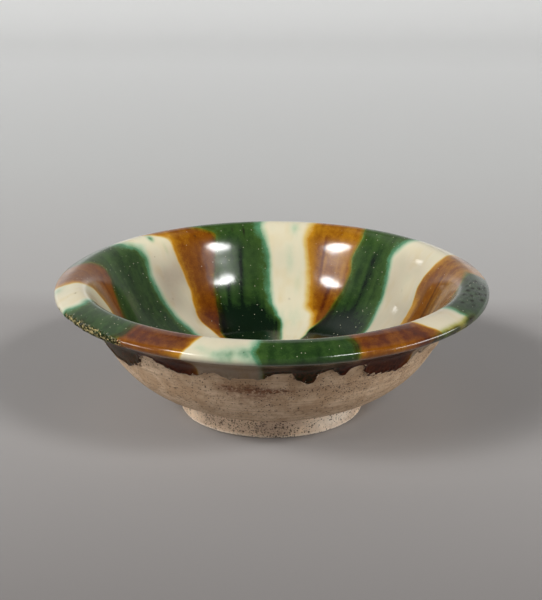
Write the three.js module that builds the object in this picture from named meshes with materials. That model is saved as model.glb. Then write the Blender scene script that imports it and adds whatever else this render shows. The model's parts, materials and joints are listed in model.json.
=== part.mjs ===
// A low bowl with an everted lip, in earthenware with three-colour lead glazes.
//
// The thrown body is luted to a short foot. A slip wash covers the outside of its wall.
// Eighteen brushed fields of cream, green and amber glaze start at a pool in the well,
// climb the inside, turn over the lip and end in tongues below it. The foot stays bare.
//
// Lengths are millimetres and angles are degrees. +Z is up, and the origin is the middle
// of the foot's resting face. Azimuths are counted from the front, which is -Y,
// anticlockwise as seen from above.
import * as THREE from "three";

// Overall sizes, over the glaze
const RIM_DIAMETER = 170;
const HEIGHT = 54.6;

// Layers, and the gap between one layer and the next
const GAP = 0.3;
const GLAZE = 0.5;
const POOL = 0.9;
const SLIP = 0.5;
const LUTING = 0.6;

// Foot
const FOOT_DIAMETER = 74;
const FOOT_HEIGHT = 7.4;
const FOOT_TAPER = 0.6;
const FOOT_BEVEL = 0.8;
const FOOT_SHOULDER = 0.5;
const FOOT_RING = 8;
const FOOT_RECESS = 2.6;
const FOOT_RECESS_SLOPE = 0.8;
const LUTING_INSET = 0.5;

// Wall and floor of the body
const FLOOR = 5.6;
const FLOOR_FLAT_RADIUS = 26;
const FLOOR_SWEEP = 9;
const BASE_OVERHANG = 2.6;
const BASE_SLOPE = 23;
const BASE_WALL = 5.8;
const BASE_SWEEP = 23;
const NECK_WALL = 4.2;
const NECK_SLOPE = 62;
const NECK_SWEEP = 10.5;
const INNER_WALL_START = 0.75;

// Lip of the body, from the neck where it leaves the wall
const LIP_REACH = 14.6;
const LIP_DROP = 14.5;
const LIP_FALL = 3.8;
const LIP_SLOPE = 30;
const LIP_SWEEP = 2.5;
const CREST_INSET = 8;
const CREST_SWEEP = 3.6;
const THROAT_SWEEP = 7;
const EDGE_ROUND = 1.2;
const UNDER_SLOPE = 30;
const UNDER_SWEEP = 8;
const UNDER_NECK_SWEEP = 4.5;

// Where the slip and the glazes stop
const SLIP_STOP = 1.6;
const POOL_RADIUS = 18;
const POOL_SHOULDER = 3;
const TONGUE = 0.35;

// Faceting
const SEGMENTS = 60;
const FIELD_COLUMNS = 5;
const RUN_ROWS = 2;

// The glaze fields, anticlockwise from the left of the bowl. A field's width is its share
// of the lip. Wall and well say how far its clockwise edge has drifted from its place on
// the crest, in degrees: on the wall, one slant inside the crest, and at the pool. Run is
// how far the glaze hangs down the outside, measured from the neck.
const FIRST_AZIMUTH = 278;
const SLANT = 12;
const FIELDS = [
  { glaze: "cream", width: 13, wall: -6, well: -10, run: 4 },
  { glaze: "green", width: 30, wall: -6, well: -5, run: 9 },
  { glaze: "amber", width: 19, wall: 1, well: 0, run: 4.5 },
  { glaze: "cream", width: 16, wall: 1, well: -2, run: 3.2 },
  { glaze: "green", width: 24.5, wall: -1, well: -3, run: 5.5 },
  { glaze: "amber", width: 23.5, wall: -0.5, well: -2, run: 8 },
  { glaze: "cream", width: 18, wall: -2, well: -3, run: 5 },
  { glaze: "green", width: 27, wall: -5, well: -4, run: 6.5 },
  { glaze: "amber", width: 21, wall: -6, well: -3, run: 6 },
  { glaze: "cream", width: 17, wall: 2, well: -4, run: 4 },
  { glaze: "green", width: 21.5, wall: 4.5, well: -1.5, run: 7 },
  { glaze: "amber", width: 17.5, wall: -1, well: 4, run: 5.5 },
  { glaze: "cream", width: 18, wall: 2, well: -7, run: 3.5 },
  { glaze: "green", width: 24, wall: -1.5, well: -7, run: 7.5 },
  { glaze: "amber", width: 20, wall: -7, well: 0, run: 6 },
  { glaze: "cream", width: 10.5, wall: -9, well: -11, run: 3.5 },
  { glaze: "green", width: 22.5, wall: -8, well: -12, run: 7 },
  { glaze: "amber", width: 17, wall: -6.5, well: 0, run: 5 },
];

// Finishes
const FINISHES = {
  body_clay: { color: 0xb49a80, roughness: 0.9 },
  foot_clay: { color: 0xb8997f, roughness: 0.95 },
  luting_slip: { color: 0x9c8468, roughness: 0.9 },
  slip_coat: { color: 0xa38d73, roughness: 0.7 },
  cream_glaze: { color: 0xd6c9a4, roughness: 0.2 },
  amber_glaze: { color: 0x96590f, roughness: 0.2 },
  green_glaze: { color: 0x2d5a26, roughness: 0.2 },
  pool_glaze: { color: 0x26331a, roughness: 0.15 },
};

const point = (radius, height) => new THREE.Vector2(radius, height);

// A step of a given length, at an angle above the horizontal. A negative one goes back.
const step = (length, degrees) => {
  const angle = THREE.MathUtils.degToRad(degrees);
  return point(length * Math.cos(angle), length * Math.sin(angle));
};

// A Bezier curve from a start to an end, each with the handle that leads away from it
const bend = (start, startHandle, endHandle, end) =>
  new THREE.CubicBezierCurve(
    start,
    start.clone().add(startHandle),
    end.clone().add(endHandle),
    end,
  );

// The heights and radii that the pieces share
const skin = GAP + GLAZE;
const rimRadius = RIM_DIAMETER / 2 - skin;
const crestHeight = HEIGHT - skin;
const footRadius = FOOT_DIAMETER / 2;
const lutingBottom = FOOT_HEIGHT + GAP;
const lutingTop = lutingBottom + LUTING;
const baseHeight = lutingTop + GAP;
const floorHeight = baseHeight + FLOOR;

// The meridian is the surface that carries the glaze. It runs from the middle of the well
// over the lip to the seat on the foot: clay inside and on the lip, slip outside.
const crest = point(rimRadius - CREST_INSET, crestHeight);
const neck = point(rimRadius - LIP_REACH, crestHeight - LIP_DROP);
const seat = point(footRadius + BASE_OVERHANG, baseHeight);
const wallOutside = bend(
  neck,
  step(-NECK_SWEEP, NECK_SLOPE),
  step(BASE_SWEEP, BASE_SLOPE),
  seat,
);

// The inside of the wall, at a share of the way down, from the outside and the wall
function wallInside(share) {
  const along = wallOutside.getTangent(share);
  const thickness = THREE.MathUtils.lerp(NECK_WALL, BASE_WALL, share);
  const across = point(along.y, -along.x).multiplyScalar(thickness);
  return wallOutside.getPoint(share).add(across);
}

function meridianPoints() {
  const steps = { fillet: 3, wall: 4, throat: 3, lip: 2, edge: 3, under: 3, outside: 5 };
  const flatEnd = point(FLOOR_FLAT_RADIUS, floorHeight);
  const inside = Array.from({ length: steps.wall + 1 }, (_, i) =>
    wallInside(INNER_WALL_START * (1 - i / steps.wall)),
  );
  const lowSlope = inside[1].clone().sub(inside[0]).setLength(FLOOR_SWEEP);
  const fillet = bend(flatEnd, point(FLOOR_SWEEP, 0), lowSlope.negate(), inside[0]);
  const throat = bend(
    inside[steps.wall],
    step(THROAT_SWEEP, NECK_SLOPE),
    point(-CREST_SWEEP, 0),
    crest,
  );
  const edge = new THREE.EllipseCurve(
    rimRadius - EDGE_ROUND,
    crestHeight - LIP_FALL,
    EDGE_ROUND,
    EDGE_ROUND,
    THREE.MathUtils.degToRad(90 - LIP_SLOPE),
    THREE.MathUtils.degToRad(UNDER_SLOPE - 90),
    true,
  );
  const lip = bend(
    crest,
    point(LIP_SWEEP, 0),
    step(-LIP_SWEEP, -LIP_SLOPE),
    edge.getPoint(0),
  );
  const under = bend(
    edge.getPoint(1),
    step(-UNDER_SWEEP, UNDER_SLOPE),
    step(UNDER_NECK_SWEEP, NECK_SLOPE),
    neck,
  );
  const rest = (curve, count) => curve.getPoints(count).slice(1);
  return {
    upToNeck: [
      point(0, floorHeight),
      flatEnd,
      ...rest(fillet, steps.fillet),
      ...inside.slice(1),
      ...rest(throat, steps.throat),
      ...rest(lip, steps.lip),
      ...rest(edge, steps.edge),
      ...rest(under, steps.under),
    ],
    belowNeck: rest(wallOutside, steps.outside),
  };
}

// Stations along the meridian, each with its point, its outward normal and its distance
// from the middle of the well
function meridianStations() {
  const { upToNeck, belowNeck } = meridianPoints();
  const points = [...upToNeck, ...belowNeck];
  let distance = 0;
  const stations = points.map((here, i) => {
    const before = points[Math.max(i - 1, 0)];
    const after = points[Math.min(i + 1, points.length - 1)];
    const along = after.clone().sub(before).normalize();
    distance += here.distanceTo(before);
    return { here, normal: point(-along.y, along.x), distance };
  });
  return { stations, neckDistance: stations[upToNeck.length - 1].distance };
}

const { stations, neckDistance } = meridianStations();
const seatDistance = stations[stations.length - 1].distance;

// The point at a distance along the meridian, raised off it by a height
function raised(distance, height) {
  const after = stations.findIndex((s) => s.distance >= distance);
  const next = stations[Math.max(after, 1)];
  const last = stations[Math.max(after, 1) - 1];
  const share = (distance - last.distance) / (next.distance - last.distance);
  const normal = last.normal.clone().lerp(next.normal, share).normalize();
  return last.here.clone().lerp(next.here, share).addScaledVector(normal, height);
}

// Distances from one to another, with the stations that lie between them
const distancesBetween = (from, to) => [
  from,
  ...stations.map((s) => s.distance).filter((d) => d > from && d < to),
  to,
];

const material = (finish) => new THREE.MeshStandardMaterial({ metalness: 0, ...FINISHES[finish] });

// A turned piece. Its profile runs anticlockwise in the plane of radius and height.
function turned(name, finish, profile) {
  const geometry = new THREE.LatheGeometry(profile, SEGMENTS);
  geometry.rotateX(Math.PI / 2);
  const mesh = new THREE.Mesh(geometry, material(finish));
  mesh.name = name;
  return mesh;
}

// The slip lies in a rebate of the clay, from just below the neck to just above the seat.
const slipFrom = neckDistance + GAP;
const slipTo = seatDistance - SLIP_STOP;
const rebateTo = slipTo + GAP;

function bowlBody() {
  const inside = distancesBetween(0, neckDistance).map((d) => raised(d, 0));
  const rebate = distancesBetween(neckDistance, rebateTo).map((d) => raised(d, -SLIP - GAP));
  const bottom = [raised(rebateTo, 0), seat, point(0, baseHeight)];
  return turned("bowl_body", "body_clay", [...inside, ...rebate, ...bottom].reverse());
}

function slipCoat() {
  const distances = distancesBetween(slipFrom, slipTo);
  const outside = distances.map((d) => raised(d, 0));
  const inside = distances.map((d) => raised(d, -SLIP)).reverse();
  const profile = [...outside, ...inside, outside[0]].reverse();
  return turned("slip_coat", "slip_coat", profile);
}

function footDisc() {
  const ringInside = footRadius - FOOT_TAPER - FOOT_BEVEL - FOOT_RING;
  return turned("foot_disc", "foot_clay", [
    point(0, FOOT_RECESS),
    point(ringInside - FOOT_RECESS_SLOPE, FOOT_RECESS),
    point(ringInside, 0),
    point(footRadius - FOOT_TAPER - FOOT_BEVEL, 0),
    point(footRadius - FOOT_TAPER, FOOT_BEVEL),
    point(footRadius, FOOT_HEIGHT - FOOT_SHOULDER),
    point(footRadius - FOOT_SHOULDER, FOOT_HEIGHT),
    point(0, FOOT_HEIGHT),
  ]);
}

function lutingSlip() {
  const radius = footRadius - LUTING_INSET;
  return turned("luting_slip", "luting_slip", [
    point(0, lutingBottom),
    point(radius - LUTING / 2, lutingBottom),
    point(radius, (lutingBottom + lutingTop) / 2),
    point(radius - LUTING / 2, lutingTop),
    point(0, lutingTop),
  ]);
}

// The pool is as thick at its edge as the fields that run into it.
function glazePool() {
  const bottom = floorHeight + GAP;
  return turned("glaze_pool", "pool_glaze", [
    point(0, bottom),
    point(POOL_RADIUS, bottom),
    point(POOL_RADIUS, bottom + GLAZE),
    point(POOL_RADIUS - POOL_SHOULDER, bottom + POOL),
    point(0, bottom + POOL),
  ]);
}

// The azimuth of each field's clockwise edge on the lip
const lipWidth = FIELDS.reduce((sum, field) => sum + field.width, 0);
const degreesPerShare = 360 / lipWidth;
const edgeAzimuths = FIELDS.map((_, i) => {
  const before = FIELDS.slice(0, i).reduce((sum, field) => sum + field.width, 0);
  return FIRST_AZIMUTH + before * degreesPerShare;
});

const poolDistance = POOL_RADIUS + GAP;
const crestDistance = stations.find((s) => s.here.equals(crest)).distance;
const wallDistance = crestDistance - SLANT;

// How far the clockwise edge of a field has drifted, at a distance along the meridian
function drift(field, distance) {
  const share = (from, to) =>
    THREE.MathUtils.clamp((distance - from) / (to - from), 0, 1);
  const onWall = share(crestDistance, wallDistance);
  const inWell = share(wallDistance, poolDistance);
  return field.wall * onWall + (field.well - field.wall) * inWell;
}

// A closed shell over a grid. Place gives the point of a row and column at a height off
// the meridian. Rows run outwards along the meridian and columns run anticlockwise.
function shell(rows, columns, place) {
  const positions = [];
  for (const height of [GAP, GAP + GLAZE])
    for (let row = 0; row < rows; row += 1)
      for (let column = 0; column < columns; column += 1)
        positions.push(...place(row, column, height));
  const lower = (row, column) => row * columns + column;
  const upper = (row, column) => rows * columns + lower(row, column);
  const faces = [];
  for (let row = 0; row + 1 < rows; row += 1)
    for (let column = 0; column + 1 < columns; column += 1) {
      const quad = [
        [row, column],
        [row + 1, column],
        [row + 1, column + 1],
        [row, column + 1],
      ];
      const [a, b, c, d] = quad.map((corner) => upper(...corner));
      const [e, f, g, h] = quad.map((corner) => lower(...corner));
      faces.push(a, b, c, a, c, d, e, g, f, e, h, g);
    }
  const border = [];
  for (let row = 0; row + 1 < rows; row += 1) border.push([row, 0]);
  for (let column = 0; column + 1 < columns; column += 1) border.push([rows - 1, column]);
  for (let row = rows - 1; row > 0; row -= 1) border.push([row, columns - 1]);
  for (let column = columns - 1; column > 0; column -= 1) border.push([0, column]);
  border.forEach((corner, i) => {
    const following = border[(i + 1) % border.length];
    const [a, b] = [upper(...corner), upper(...following)];
    const [c, d] = [lower(...corner), lower(...following)];
    faces.push(b, a, c, b, c, d);
  });
  const geometry = new THREE.BufferGeometry();
  geometry.setAttribute("position", new THREE.Float32BufferAttribute(positions, 3));
  geometry.setIndex(faces);
  geometry.computeVertexNormals();
  return geometry;
}

function glazeField(index, number) {
  const field = FIELDS[index];
  const following = FIELDS[(index + 1) % FIELDS.length];
  const startAzimuth = edgeAzimuths[index];
  const endAzimuth = startAzimuth + field.width * degreesPerShare;
  const inside = distancesBetween(poolDistance, neckDistance);
  const rows = inside.length + RUN_ROWS;

  // Below the neck the rows share out the run, which is longest in the middle.
  const distanceOf = (row, across) => {
    if (row < inside.length) return inside[row];
    const run = field.run * (1 - TONGUE * (2 * across - 1) ** 2);
    return neckDistance + (run * (row - inside.length + 1)) / RUN_ROWS;
  };
  const place = (row, column, height) => {
    const across = column / (FIELD_COLUMNS - 1);
    const distance = distanceOf(row, across);
    const at = raised(distance, height);
    const margin = THREE.MathUtils.radToDeg(GAP / 2 / at.x);
    const from = startAzimuth + drift(field, distance) + margin;
    const to = endAzimuth + drift(following, distance) - margin;
    const azimuth = THREE.MathUtils.degToRad(THREE.MathUtils.lerp(from, to, across));
    return [at.x * Math.sin(azimuth), -at.x * Math.cos(azimuth), at.y];
  };
  const mesh = new THREE.Mesh(shell(rows, FIELD_COLUMNS, place), material(field.glaze + "_glaze"));
  mesh.name = `glaze_${field.glaze}_${number}`;
  return mesh;
}

// Assembly
const bowl = new THREE.Group();
bowl.name = "sancai_bowl";

const pottery = new THREE.Group();
pottery.add(footDisc(), lutingSlip(), bowlBody(), slipCoat());
bowl.add(pottery);

const glazes = new THREE.Group();
glazes.add(glazePool());
const counts = {};
FIELDS.forEach((field, index) => {
  counts[field.glaze] = (counts[field.glaze] ?? 0) + 1;
  glazes.add(glazeField(index, counts[field.glaze]));
});
bowl.add(glazes);

export default bowl;
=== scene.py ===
"""A sancai bowl in thrown earthenware, with slip outside and streaks of three lead glazes inside.

Sizes that a user sets are in metres. The shape code works in millimetres and turns them into
metres when it makes a mesh. A place on the bowl is given by an azimuth, in degrees from the front
anticlockwise as seen from above, and by a reach, the distance along the bowl's surface from the
crest of the lip in millimetres. Reach is negative inside the bowl and positive outside.
"""

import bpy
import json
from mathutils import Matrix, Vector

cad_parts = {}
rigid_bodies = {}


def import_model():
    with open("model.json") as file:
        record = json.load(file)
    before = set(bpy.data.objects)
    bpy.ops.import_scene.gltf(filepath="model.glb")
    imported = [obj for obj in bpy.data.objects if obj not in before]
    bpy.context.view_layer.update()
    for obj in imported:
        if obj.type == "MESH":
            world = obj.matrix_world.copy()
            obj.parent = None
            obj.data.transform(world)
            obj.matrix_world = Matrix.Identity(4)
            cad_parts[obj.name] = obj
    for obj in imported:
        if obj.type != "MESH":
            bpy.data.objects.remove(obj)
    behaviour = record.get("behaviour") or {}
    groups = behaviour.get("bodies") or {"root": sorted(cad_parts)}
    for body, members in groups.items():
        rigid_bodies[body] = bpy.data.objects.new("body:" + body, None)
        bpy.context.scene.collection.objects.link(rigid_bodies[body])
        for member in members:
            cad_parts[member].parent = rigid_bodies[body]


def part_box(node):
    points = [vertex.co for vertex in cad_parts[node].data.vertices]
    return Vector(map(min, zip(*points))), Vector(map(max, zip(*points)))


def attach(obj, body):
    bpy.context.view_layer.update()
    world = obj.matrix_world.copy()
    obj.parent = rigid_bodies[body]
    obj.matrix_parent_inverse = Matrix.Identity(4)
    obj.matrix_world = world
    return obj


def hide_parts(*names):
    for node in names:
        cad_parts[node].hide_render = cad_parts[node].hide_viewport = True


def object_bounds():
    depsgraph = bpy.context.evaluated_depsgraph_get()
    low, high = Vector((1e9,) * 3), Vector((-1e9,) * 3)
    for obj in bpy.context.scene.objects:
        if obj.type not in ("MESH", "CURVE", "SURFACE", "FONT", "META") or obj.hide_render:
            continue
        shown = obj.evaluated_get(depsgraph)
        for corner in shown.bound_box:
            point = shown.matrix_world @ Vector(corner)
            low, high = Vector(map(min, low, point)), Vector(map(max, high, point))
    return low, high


bl_info = {
    "name": "Sancai Bowl",
    "version": (1, 0, 0),
    "blender": (4, 5, 0),
    "location": "3D View > Sidebar > Sancai Bowl",
    "description": "Makes the clay, the slip and the lead glazes of a three-colour bowl",
    "category": "Add Mesh",
}

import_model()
CAD_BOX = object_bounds()

import json
import math
from types import SimpleNamespace

import bpy
import numpy as np
from bpy.props import EnumProperty, FloatProperty, FloatVectorProperty, PointerProperty
from bpy.types import Operator, Panel, PropertyGroup

MM = 0.001
BODY = "root"

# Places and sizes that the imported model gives
FOOT_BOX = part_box("foot_disc")
CLAY_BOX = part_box("bowl_body")
POOL_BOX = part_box("glaze_pool")
LUTING_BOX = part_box("luting_slip")


def length(name, description, default):
    return FloatProperty(
        name=name, description=description, default=default, min=0.0, unit="LENGTH", precision=5
    )


def colour(name, description, default):
    return FloatVectorProperty(
        name=name, description=description, default=default, size=3, min=0.0, max=1.0, subtype="COLOR"
    )


def amount(name, description, default):
    return FloatProperty(name=name, description=description, default=default, min=0.0)


class BowlSizes(PropertyGroup):
    rim_diameter: length("Rim diameter", "Across the lip, over the glaze", 0.170)
    height: length("Height", "From the table to the crest of the lip", CAD_BOX[1].z)
    foot_diameter: length("Foot diameter", "Across the foot at its widest", FOOT_BOX[1].x - FOOT_BOX[0].x)
    foot_height: length("Foot height", "From the table to the top of the foot", FOOT_BOX[1].z)
    base_height: length("Base height", "From the table to the underside of the thrown clay", CLAY_BOX[0].z)
    floor_thickness: length("Floor", "Thickness of the clay under the well", 0.0056)
    flat_radius: length("Well radius", "Radius of the flat part of the well", 0.026)
    base_overhang: length("Overhang", "How far the wall stands out over the foot", 0.0026)
    base_wall: length("Wall at the base", "Thickness of the clay low on the wall", 0.0058)
    neck_wall: length("Wall at the neck", "Thickness of the clay under the lip", 0.0042)
    lip_reach: length("Lip reach", "How far the lip stands out past the neck", 0.0146)
    lip_drop: length("Lip drop", "From the crest of the lip down to the neck", 0.0145)
    lip_fall: length("Lip fall", "From the crest of the lip down to the middle of its edge", 0.0038)
    crest_inset: length("Crest inset", "From the rim in to the crest of the lip", 0.0080)
    edge_round: length("Edge", "Radius of the rounded edge of the lip", 0.0012)
    glaze: length("Glaze", "Thickness of the glaze on the wall", 0.0005)
    pool: length("Pool", "Thickness of the glaze in the middle of the well", 0.0009)
    pool_radius: length("Pool radius", "Radius of the pool of glaze in the well", POOL_BOX[1].x)
    slip: length("Slip", "Thickness of the slip on the outside", 0.0005)


class GlazeColours(PropertyGroup):
    cream: colour("Cream", "Clear glaze over white slip", (0.645, 0.605, 0.46))
    pale_green: colour("Pale green", "A trace of copper", (0.42, 0.52, 0.38))
    teal: colour("Teal", "Thin copper at the side of a stroke", (0.08, 0.23, 0.13))
    emerald: colour("Emerald", "Copper at its usual strength", (0.036, 0.080, 0.017))
    deep_green: colour("Deep green", "Copper where it lies thick", (0.015, 0.040, 0.009))
    green_black: colour("Green black", "Copper where it has pooled", (0.003, 0.010, 0.004))
    straw: colour("Straw", "A trace of iron", (0.56, 0.40, 0.12))
    honey: colour("Honey", "Thin iron at the side of a stroke", (0.40, 0.18, 0.008))
    amber: colour("Amber", "Iron at its usual strength", (0.175, 0.053, 0.0015))
    brown: colour("Brown", "Iron where it lies thick", (0.080, 0.015, 0.001))
    dark_brown: colour("Dark brown", "Iron where it has pooled", (0.035, 0.010, 0.004))
    clay_under: colour("Clay under glaze", "Clear glaze over bare clay", (0.28, 0.225, 0.185))
    pinhole: colour("Pinhole", "White slip in a pinhole", (0.50, 0.47, 0.34))
    speck: colour("Speck", "Dark specks and marks", (0.012, 0.010, 0.007))
    blotch: colour("Blotch", "Blotches at the end of a run", (0.095, 0.022, 0.008))
    outline: colour("Outline", "The line round the end of a run", (0.020, 0.010, 0.006))
    crumb: colour("Crumb", "Crumbs of slip where the rim has flaked", (0.52, 0.42, 0.20))
    dirt: colour("Dirt", "Dirt between the crumbs", (0.018, 0.022, 0.006))


class ClayColours(PropertyGroup):
    body: colour("Body clay", "The thrown clay, fired", (0.45, 0.32, 0.21))
    foot: colour("Foot clay", "The coarser clay of the foot", (0.88, 0.66, 0.45))
    foot_cloud: colour("Foot patches", "Darker patches of the foot", (0.46, 0.33, 0.24))
    foot_dark: colour("Pits", "Dirt in the pits of the clay", (0.040, 0.024, 0.016))
    # Painted light on the foot: the colour of its painted highlight along the bottom edge and of its lit
    # sides
    foot_pale: colour("Foot wear", "Where the foot is rubbed pale", (0.94, 0.81, 0.66))
    slip: colour("Slip", "The wash on the outside of the wall", (0.64, 0.475, 0.325))
    slip_dark: colour("Slip stain", "Darker, browner patches of the wash", (0.34, 0.205, 0.105))
    rust: colour("Rust", "Iron stains on the wash", (0.120, 0.024, 0.005))
    luting: colour("Luting slip", "The slip between the foot and the wall", (0.20, 0.135, 0.085))


class Studio(PropertyGroup):
    key_strength: amount("Key", "Brightness of the two front soft boxes", 27.0)
    fill_strength: amount("Fill", "Brightness of the broad light round each soft box", 9.4)
    glow_strength: amount("Glow", "Brightness of the spill round each soft box", 1.1)
    far_strength: amount("Far", "Brightness of the small lamp far on the left", 5.0)
    side_strength: amount("Side", "Brightness of the two low side panels", 9.5)
    back_strength: amount("Back", "Brightness of the lamp that lights the paper behind the bowl", 3.0)
    air_strength: amount("Air", "Brightness of the light high behind the bowl, at both sides", 0.55)
    lamp_distance: length("Lamp distance", "From the bowl to each lamp", 2.4)
    # The paper's colours are painted light and shade: darkest in front of the bowl, dark beside it where its
    # shadow falls, lighter behind it and darker again high up
    near_floor: colour("Near floor", "Paper in front of the bowl", (0.144, 0.133, 0.127))
    floor: colour("Floor", "Paper beside the bowl", (0.300, 0.286, 0.278))
    rim_floor: colour("Rim floor", "Paper just behind the bowl", (0.362, 0.350, 0.341))
    back_floor: colour("Back floor", "Paper behind the bowl", (0.495, 0.496, 0.486))
    far_floor: colour("Far floor", "Paper where it turns up", (0.665, 0.668, 0.660))
    wall: colour("Wall", "Paper high behind the bowl", (0.340, 0.340, 0.335))


# The strokes of glaze, anticlockwise from the left of the bowl. An edge is the clockwise side of a
# stroke as places of reach and azimuth, from the pool in the well out to the edge of the lip.
STROKES = [
    ("cream_1", [(-76, 268), (-50, 268), (-18, 270), (-12, 272), (-7, 274), (-2, 279), (3, 279), (8, 277)]),
    ("green_1", [(-76, 281), (-50, 281), (-18, 286), (-10, 290), (-4, 293), (3, 297), (9, 294)]),
    ("amber_1", [(-76, 316), (-50, 316), (-12, 320), (0, 321), (6, 321), (10, 318)]),
    ("cream_2", [(-76, 341), (-12, 341), (1, 341), (6, 340), (10, 338)]),
    ("green_2", [(-76, 354), (-50, 354), (-12, 357), (0, 356), (5, 355), (10, 357)]),
    ("amber_2", [(-76, 17), (-50, 18), (-12, 20), (0, 20), (5, 21), (10, 20)]),
    ("cream_3", [(-76, 42), (-12, 42), (0, 41), (3, 42), (7, 45), (10, 46)]),
    ("green_3", [(-76, 56), (-12, 54), (0, 57), (6, 58), (9, 61), (11, 64)]),
    ("amber_3", [(-76, 66), (-50, 66), (-12, 68), (-6, 70), (-3, 75), (-1, 83), (1, 90), (9, 90)]),
    ("cream_4", [(-76, 106), (-50, 106), (-25, 110), (-18, 112), (-12, 111), (-3, 108), (3, 110)]),
    ("green_4", [(-76, 125), (-45, 126), (-28, 128), (-19, 130), (-10, 132), (-4, 130), (1, 127)]),
    ("amber_4", [(-76, 156), (-52, 156), (-45, 152), (-36, 150), (-29, 148), (-21, 147), (-13, 148),
                 (-5, 146), (2, 148)]),
    ("cream_5", [(-76, 159), (-51, 158), (-43, 159), (-40, 164), (-31, 165), (-19, 166), (-9, 168),
                 (-3, 167), (3, 165)]),
    ("green_5", [(-76, 174), (-60, 174), (-48, 176), (-38, 180), (-16, 181),
                 (-10, 182), (-3, 184), (3, 182)]),
    ("amber_5", [(-76, 210), (-53, 210), (-43, 206), (-28, 204), (-12, 201), (-5, 200), (-2, 204), (0, 208)]),
    ("cream_6", [(-76, 215), (-52, 215), (-43, 218), (-28, 216), (-20, 217), (-4, 218), (-1, 223), (2, 228)]),
    ("green_6", [(-76, 226), (-50, 226), (-33, 230), (-18, 232), (-10, 230), (-5, 231), (-2, 235), (2, 238)]),
    ("amber_6", [(-76, 262), (-50, 263), (-27, 261), (-17, 257), (-11, 254), (-6, 254), (-3, 256), (1, 260)]),
]
FIRST_AZIMUTH = 266

# How much stronger a stroke grows low in the bowl, where the glaze has run together, if that isn't usual
POOLING = {"green_4": 1.2, "green_5": 1.5, "amber_4": 0.1, "amber_5": 0.6, "green_6": 0.0, "amber_3": 0.1}
USUAL_POOLING = 0.5

# How strongly a stroke is coloured where that isn't usual, on the lip and inside the bowl
STRENGTHS = {
    "amber_1": 1.45, "amber_2": 1.54, "amber_4": 0.88, "amber_5": 1.12, "amber_6": 1.2,
    "green_1": 1.15, "green_2": 1.2, "green_3": 1.5, "green_6": 1.1,
}

# The width in millimetres of a stroke's fade at its clockwise side, where that isn't usual
WIDE_FADES = {"cream_5": 4.5, "amber_3": 2.4, "green_6": 5.6}

# How thin the white slip is under a stroke, so that the clay shows: inside the bowl, and on the lip
THINNESS = {"cream_6": 0.50, "cream_4": 0.34, "cream_5": 0.03}
LIP_THINNESS = {"cream_1": 0.16, "cream_2": 0.34, "cream_3": 0.52, "cream_4": 0.20, "cream_5": 0.10}

# How far the glaze hangs below the neck, counted on past 360: azimuth and drop in millimetres
RUN_ENDS = [
    (278, 3.5), (288, 3.0), (293, 5.2), (299, 8.3), (307, 8.4), (314, 6.4), (317, 1.0), (319, -2.4),
    (322, -2.8), (324, 0.6), (327, 2.6), (331, 3.4), (337, 3.2), (340, 1.4), (343, 0.4), (346, 2.2),
    (351, 2.6), (358, 2.2), (360.5, -1.0), (363, -2.6), (365.5, -2.2), (367, 1.8), (370, 5.4), (372.5, 3.8),
    (374, -0.8), (377, -2.6), (379.5, 0.8), (382, 2.4), (383.5, -0.6), (385, -3.0), (387, -3.2),
    (388.5, 3.4), (391, 5.6), (396, 6.3), (402, 6.4), (406, 4.2), (409, -0.8), (412, 1.6), (416, -2.2),
    (420, -3.2), (424, -0.8), (428, 2.2), (433, 4.8), (441, 6.4), (447, 4.0), (452, 0.8), (458, 3.8),
    (465, 4.4), (470, 0.5), (478, 2.6), (486, 0.2), (492, 5.6), (500, 6.8), (507, 2.4), (514, 5.2),
    (521, 4.6), (526, 0.6), (533, 3.2), (543, 1.2), (549, 6.4), (556, 7.4), (563, 4.0), (569, 1.0),
    (576, 4.9), (583, 5.6), (590, 1.8), (598, 0.4), (604, 5.8), (612, 6.8), (618, 3.2), (625, 0.8),
    (632, 4.4),
]

# Long dark streaks in a stroke: azimuth at the top, azimuth at the foot, reach from and to, width
DARK_STREAKS = [
    (191.5, 195, -10, -52, 1.1), (198, 203, -24, -60, 1.0), (139, 141, -10, -58, 1.4),
    (155, 157, -24, -60, 1.0), (160, 160, -6, -24, 0.6), (88, 84, -14, -60, 1.0), (100, 96, -6, -40, 0.8),
    (300, 302, -6, -50, 1.1), (330, 330, -8, -56, 1.0), (8, 7, -8, -60, 1.2), (30, 29, -5, -48, 1.0),
]

# Small dark marks: azimuth, reach, half width and half length in millimetres, and strength
DARK_MARKS = [
    (190, -4.8, 0.5, 1.9, 1.0), (194, -3.8, 0.35, 1.0, 0.8), (197, -3.4, 0.3, 0.9, 0.5),
    (208, -5.1, 0.35, 0.4, 1.0), (288, 1.6, 0.5, 0.35, 0.8), (300, 4.0, 0.3, 0.3, 0.5),
    (74, 1.0, 1.2, 0.6, 1.6), (77, 2.2, 0.9, 0.5, 1.6), (71, 3.0, 1.0, 0.5, 1.6), (70, 0.6, 0.9, 0.4, 1.4),
    (79, 4.6, 1.2, 0.6, 1.6), (75, 5.4, 0.8, 0.5, 1.4), (68, 4.2, 0.8, 0.5, 1.3),
    (73.5, 4.2, 0.7, 0.4, 1.4), (72, 7.1, 1.2, 0.6, 1.3), (82, 6.6, 0.9, 0.5, 1.4),
    (64, 2.2, 0.8, 0.5, 1.2), (78, 0.2, 0.8, 0.4, 1.4), (84, 3.0, 0.9, 0.5, 1.4), (81, 1.2, 0.8, 0.4, 1.4),
    (77, 7.6, 0.9, 0.4, 1.3), (66, 5.8, 0.7, 0.4, 1.2), (90, 9.4, 0.6, 0.5, 1.0), (86, 9.8, 0.4, 0.5, 0.9),
    (33, 5.2, 0.3, 0.25, 0.6), (330, 3.6, 0.3, 0.25, 0.7), (334, 5.0, 0.25, 0.25, 0.6),
    (150, -1.0, 0.3, 0.3, 0.5), (172, -36, 0.5, 0.4, 0.3), (226, -30, 0.4, 0.4, 0.25),
    (120, -22, 0.3, 0.4, 0.3),
]

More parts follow.
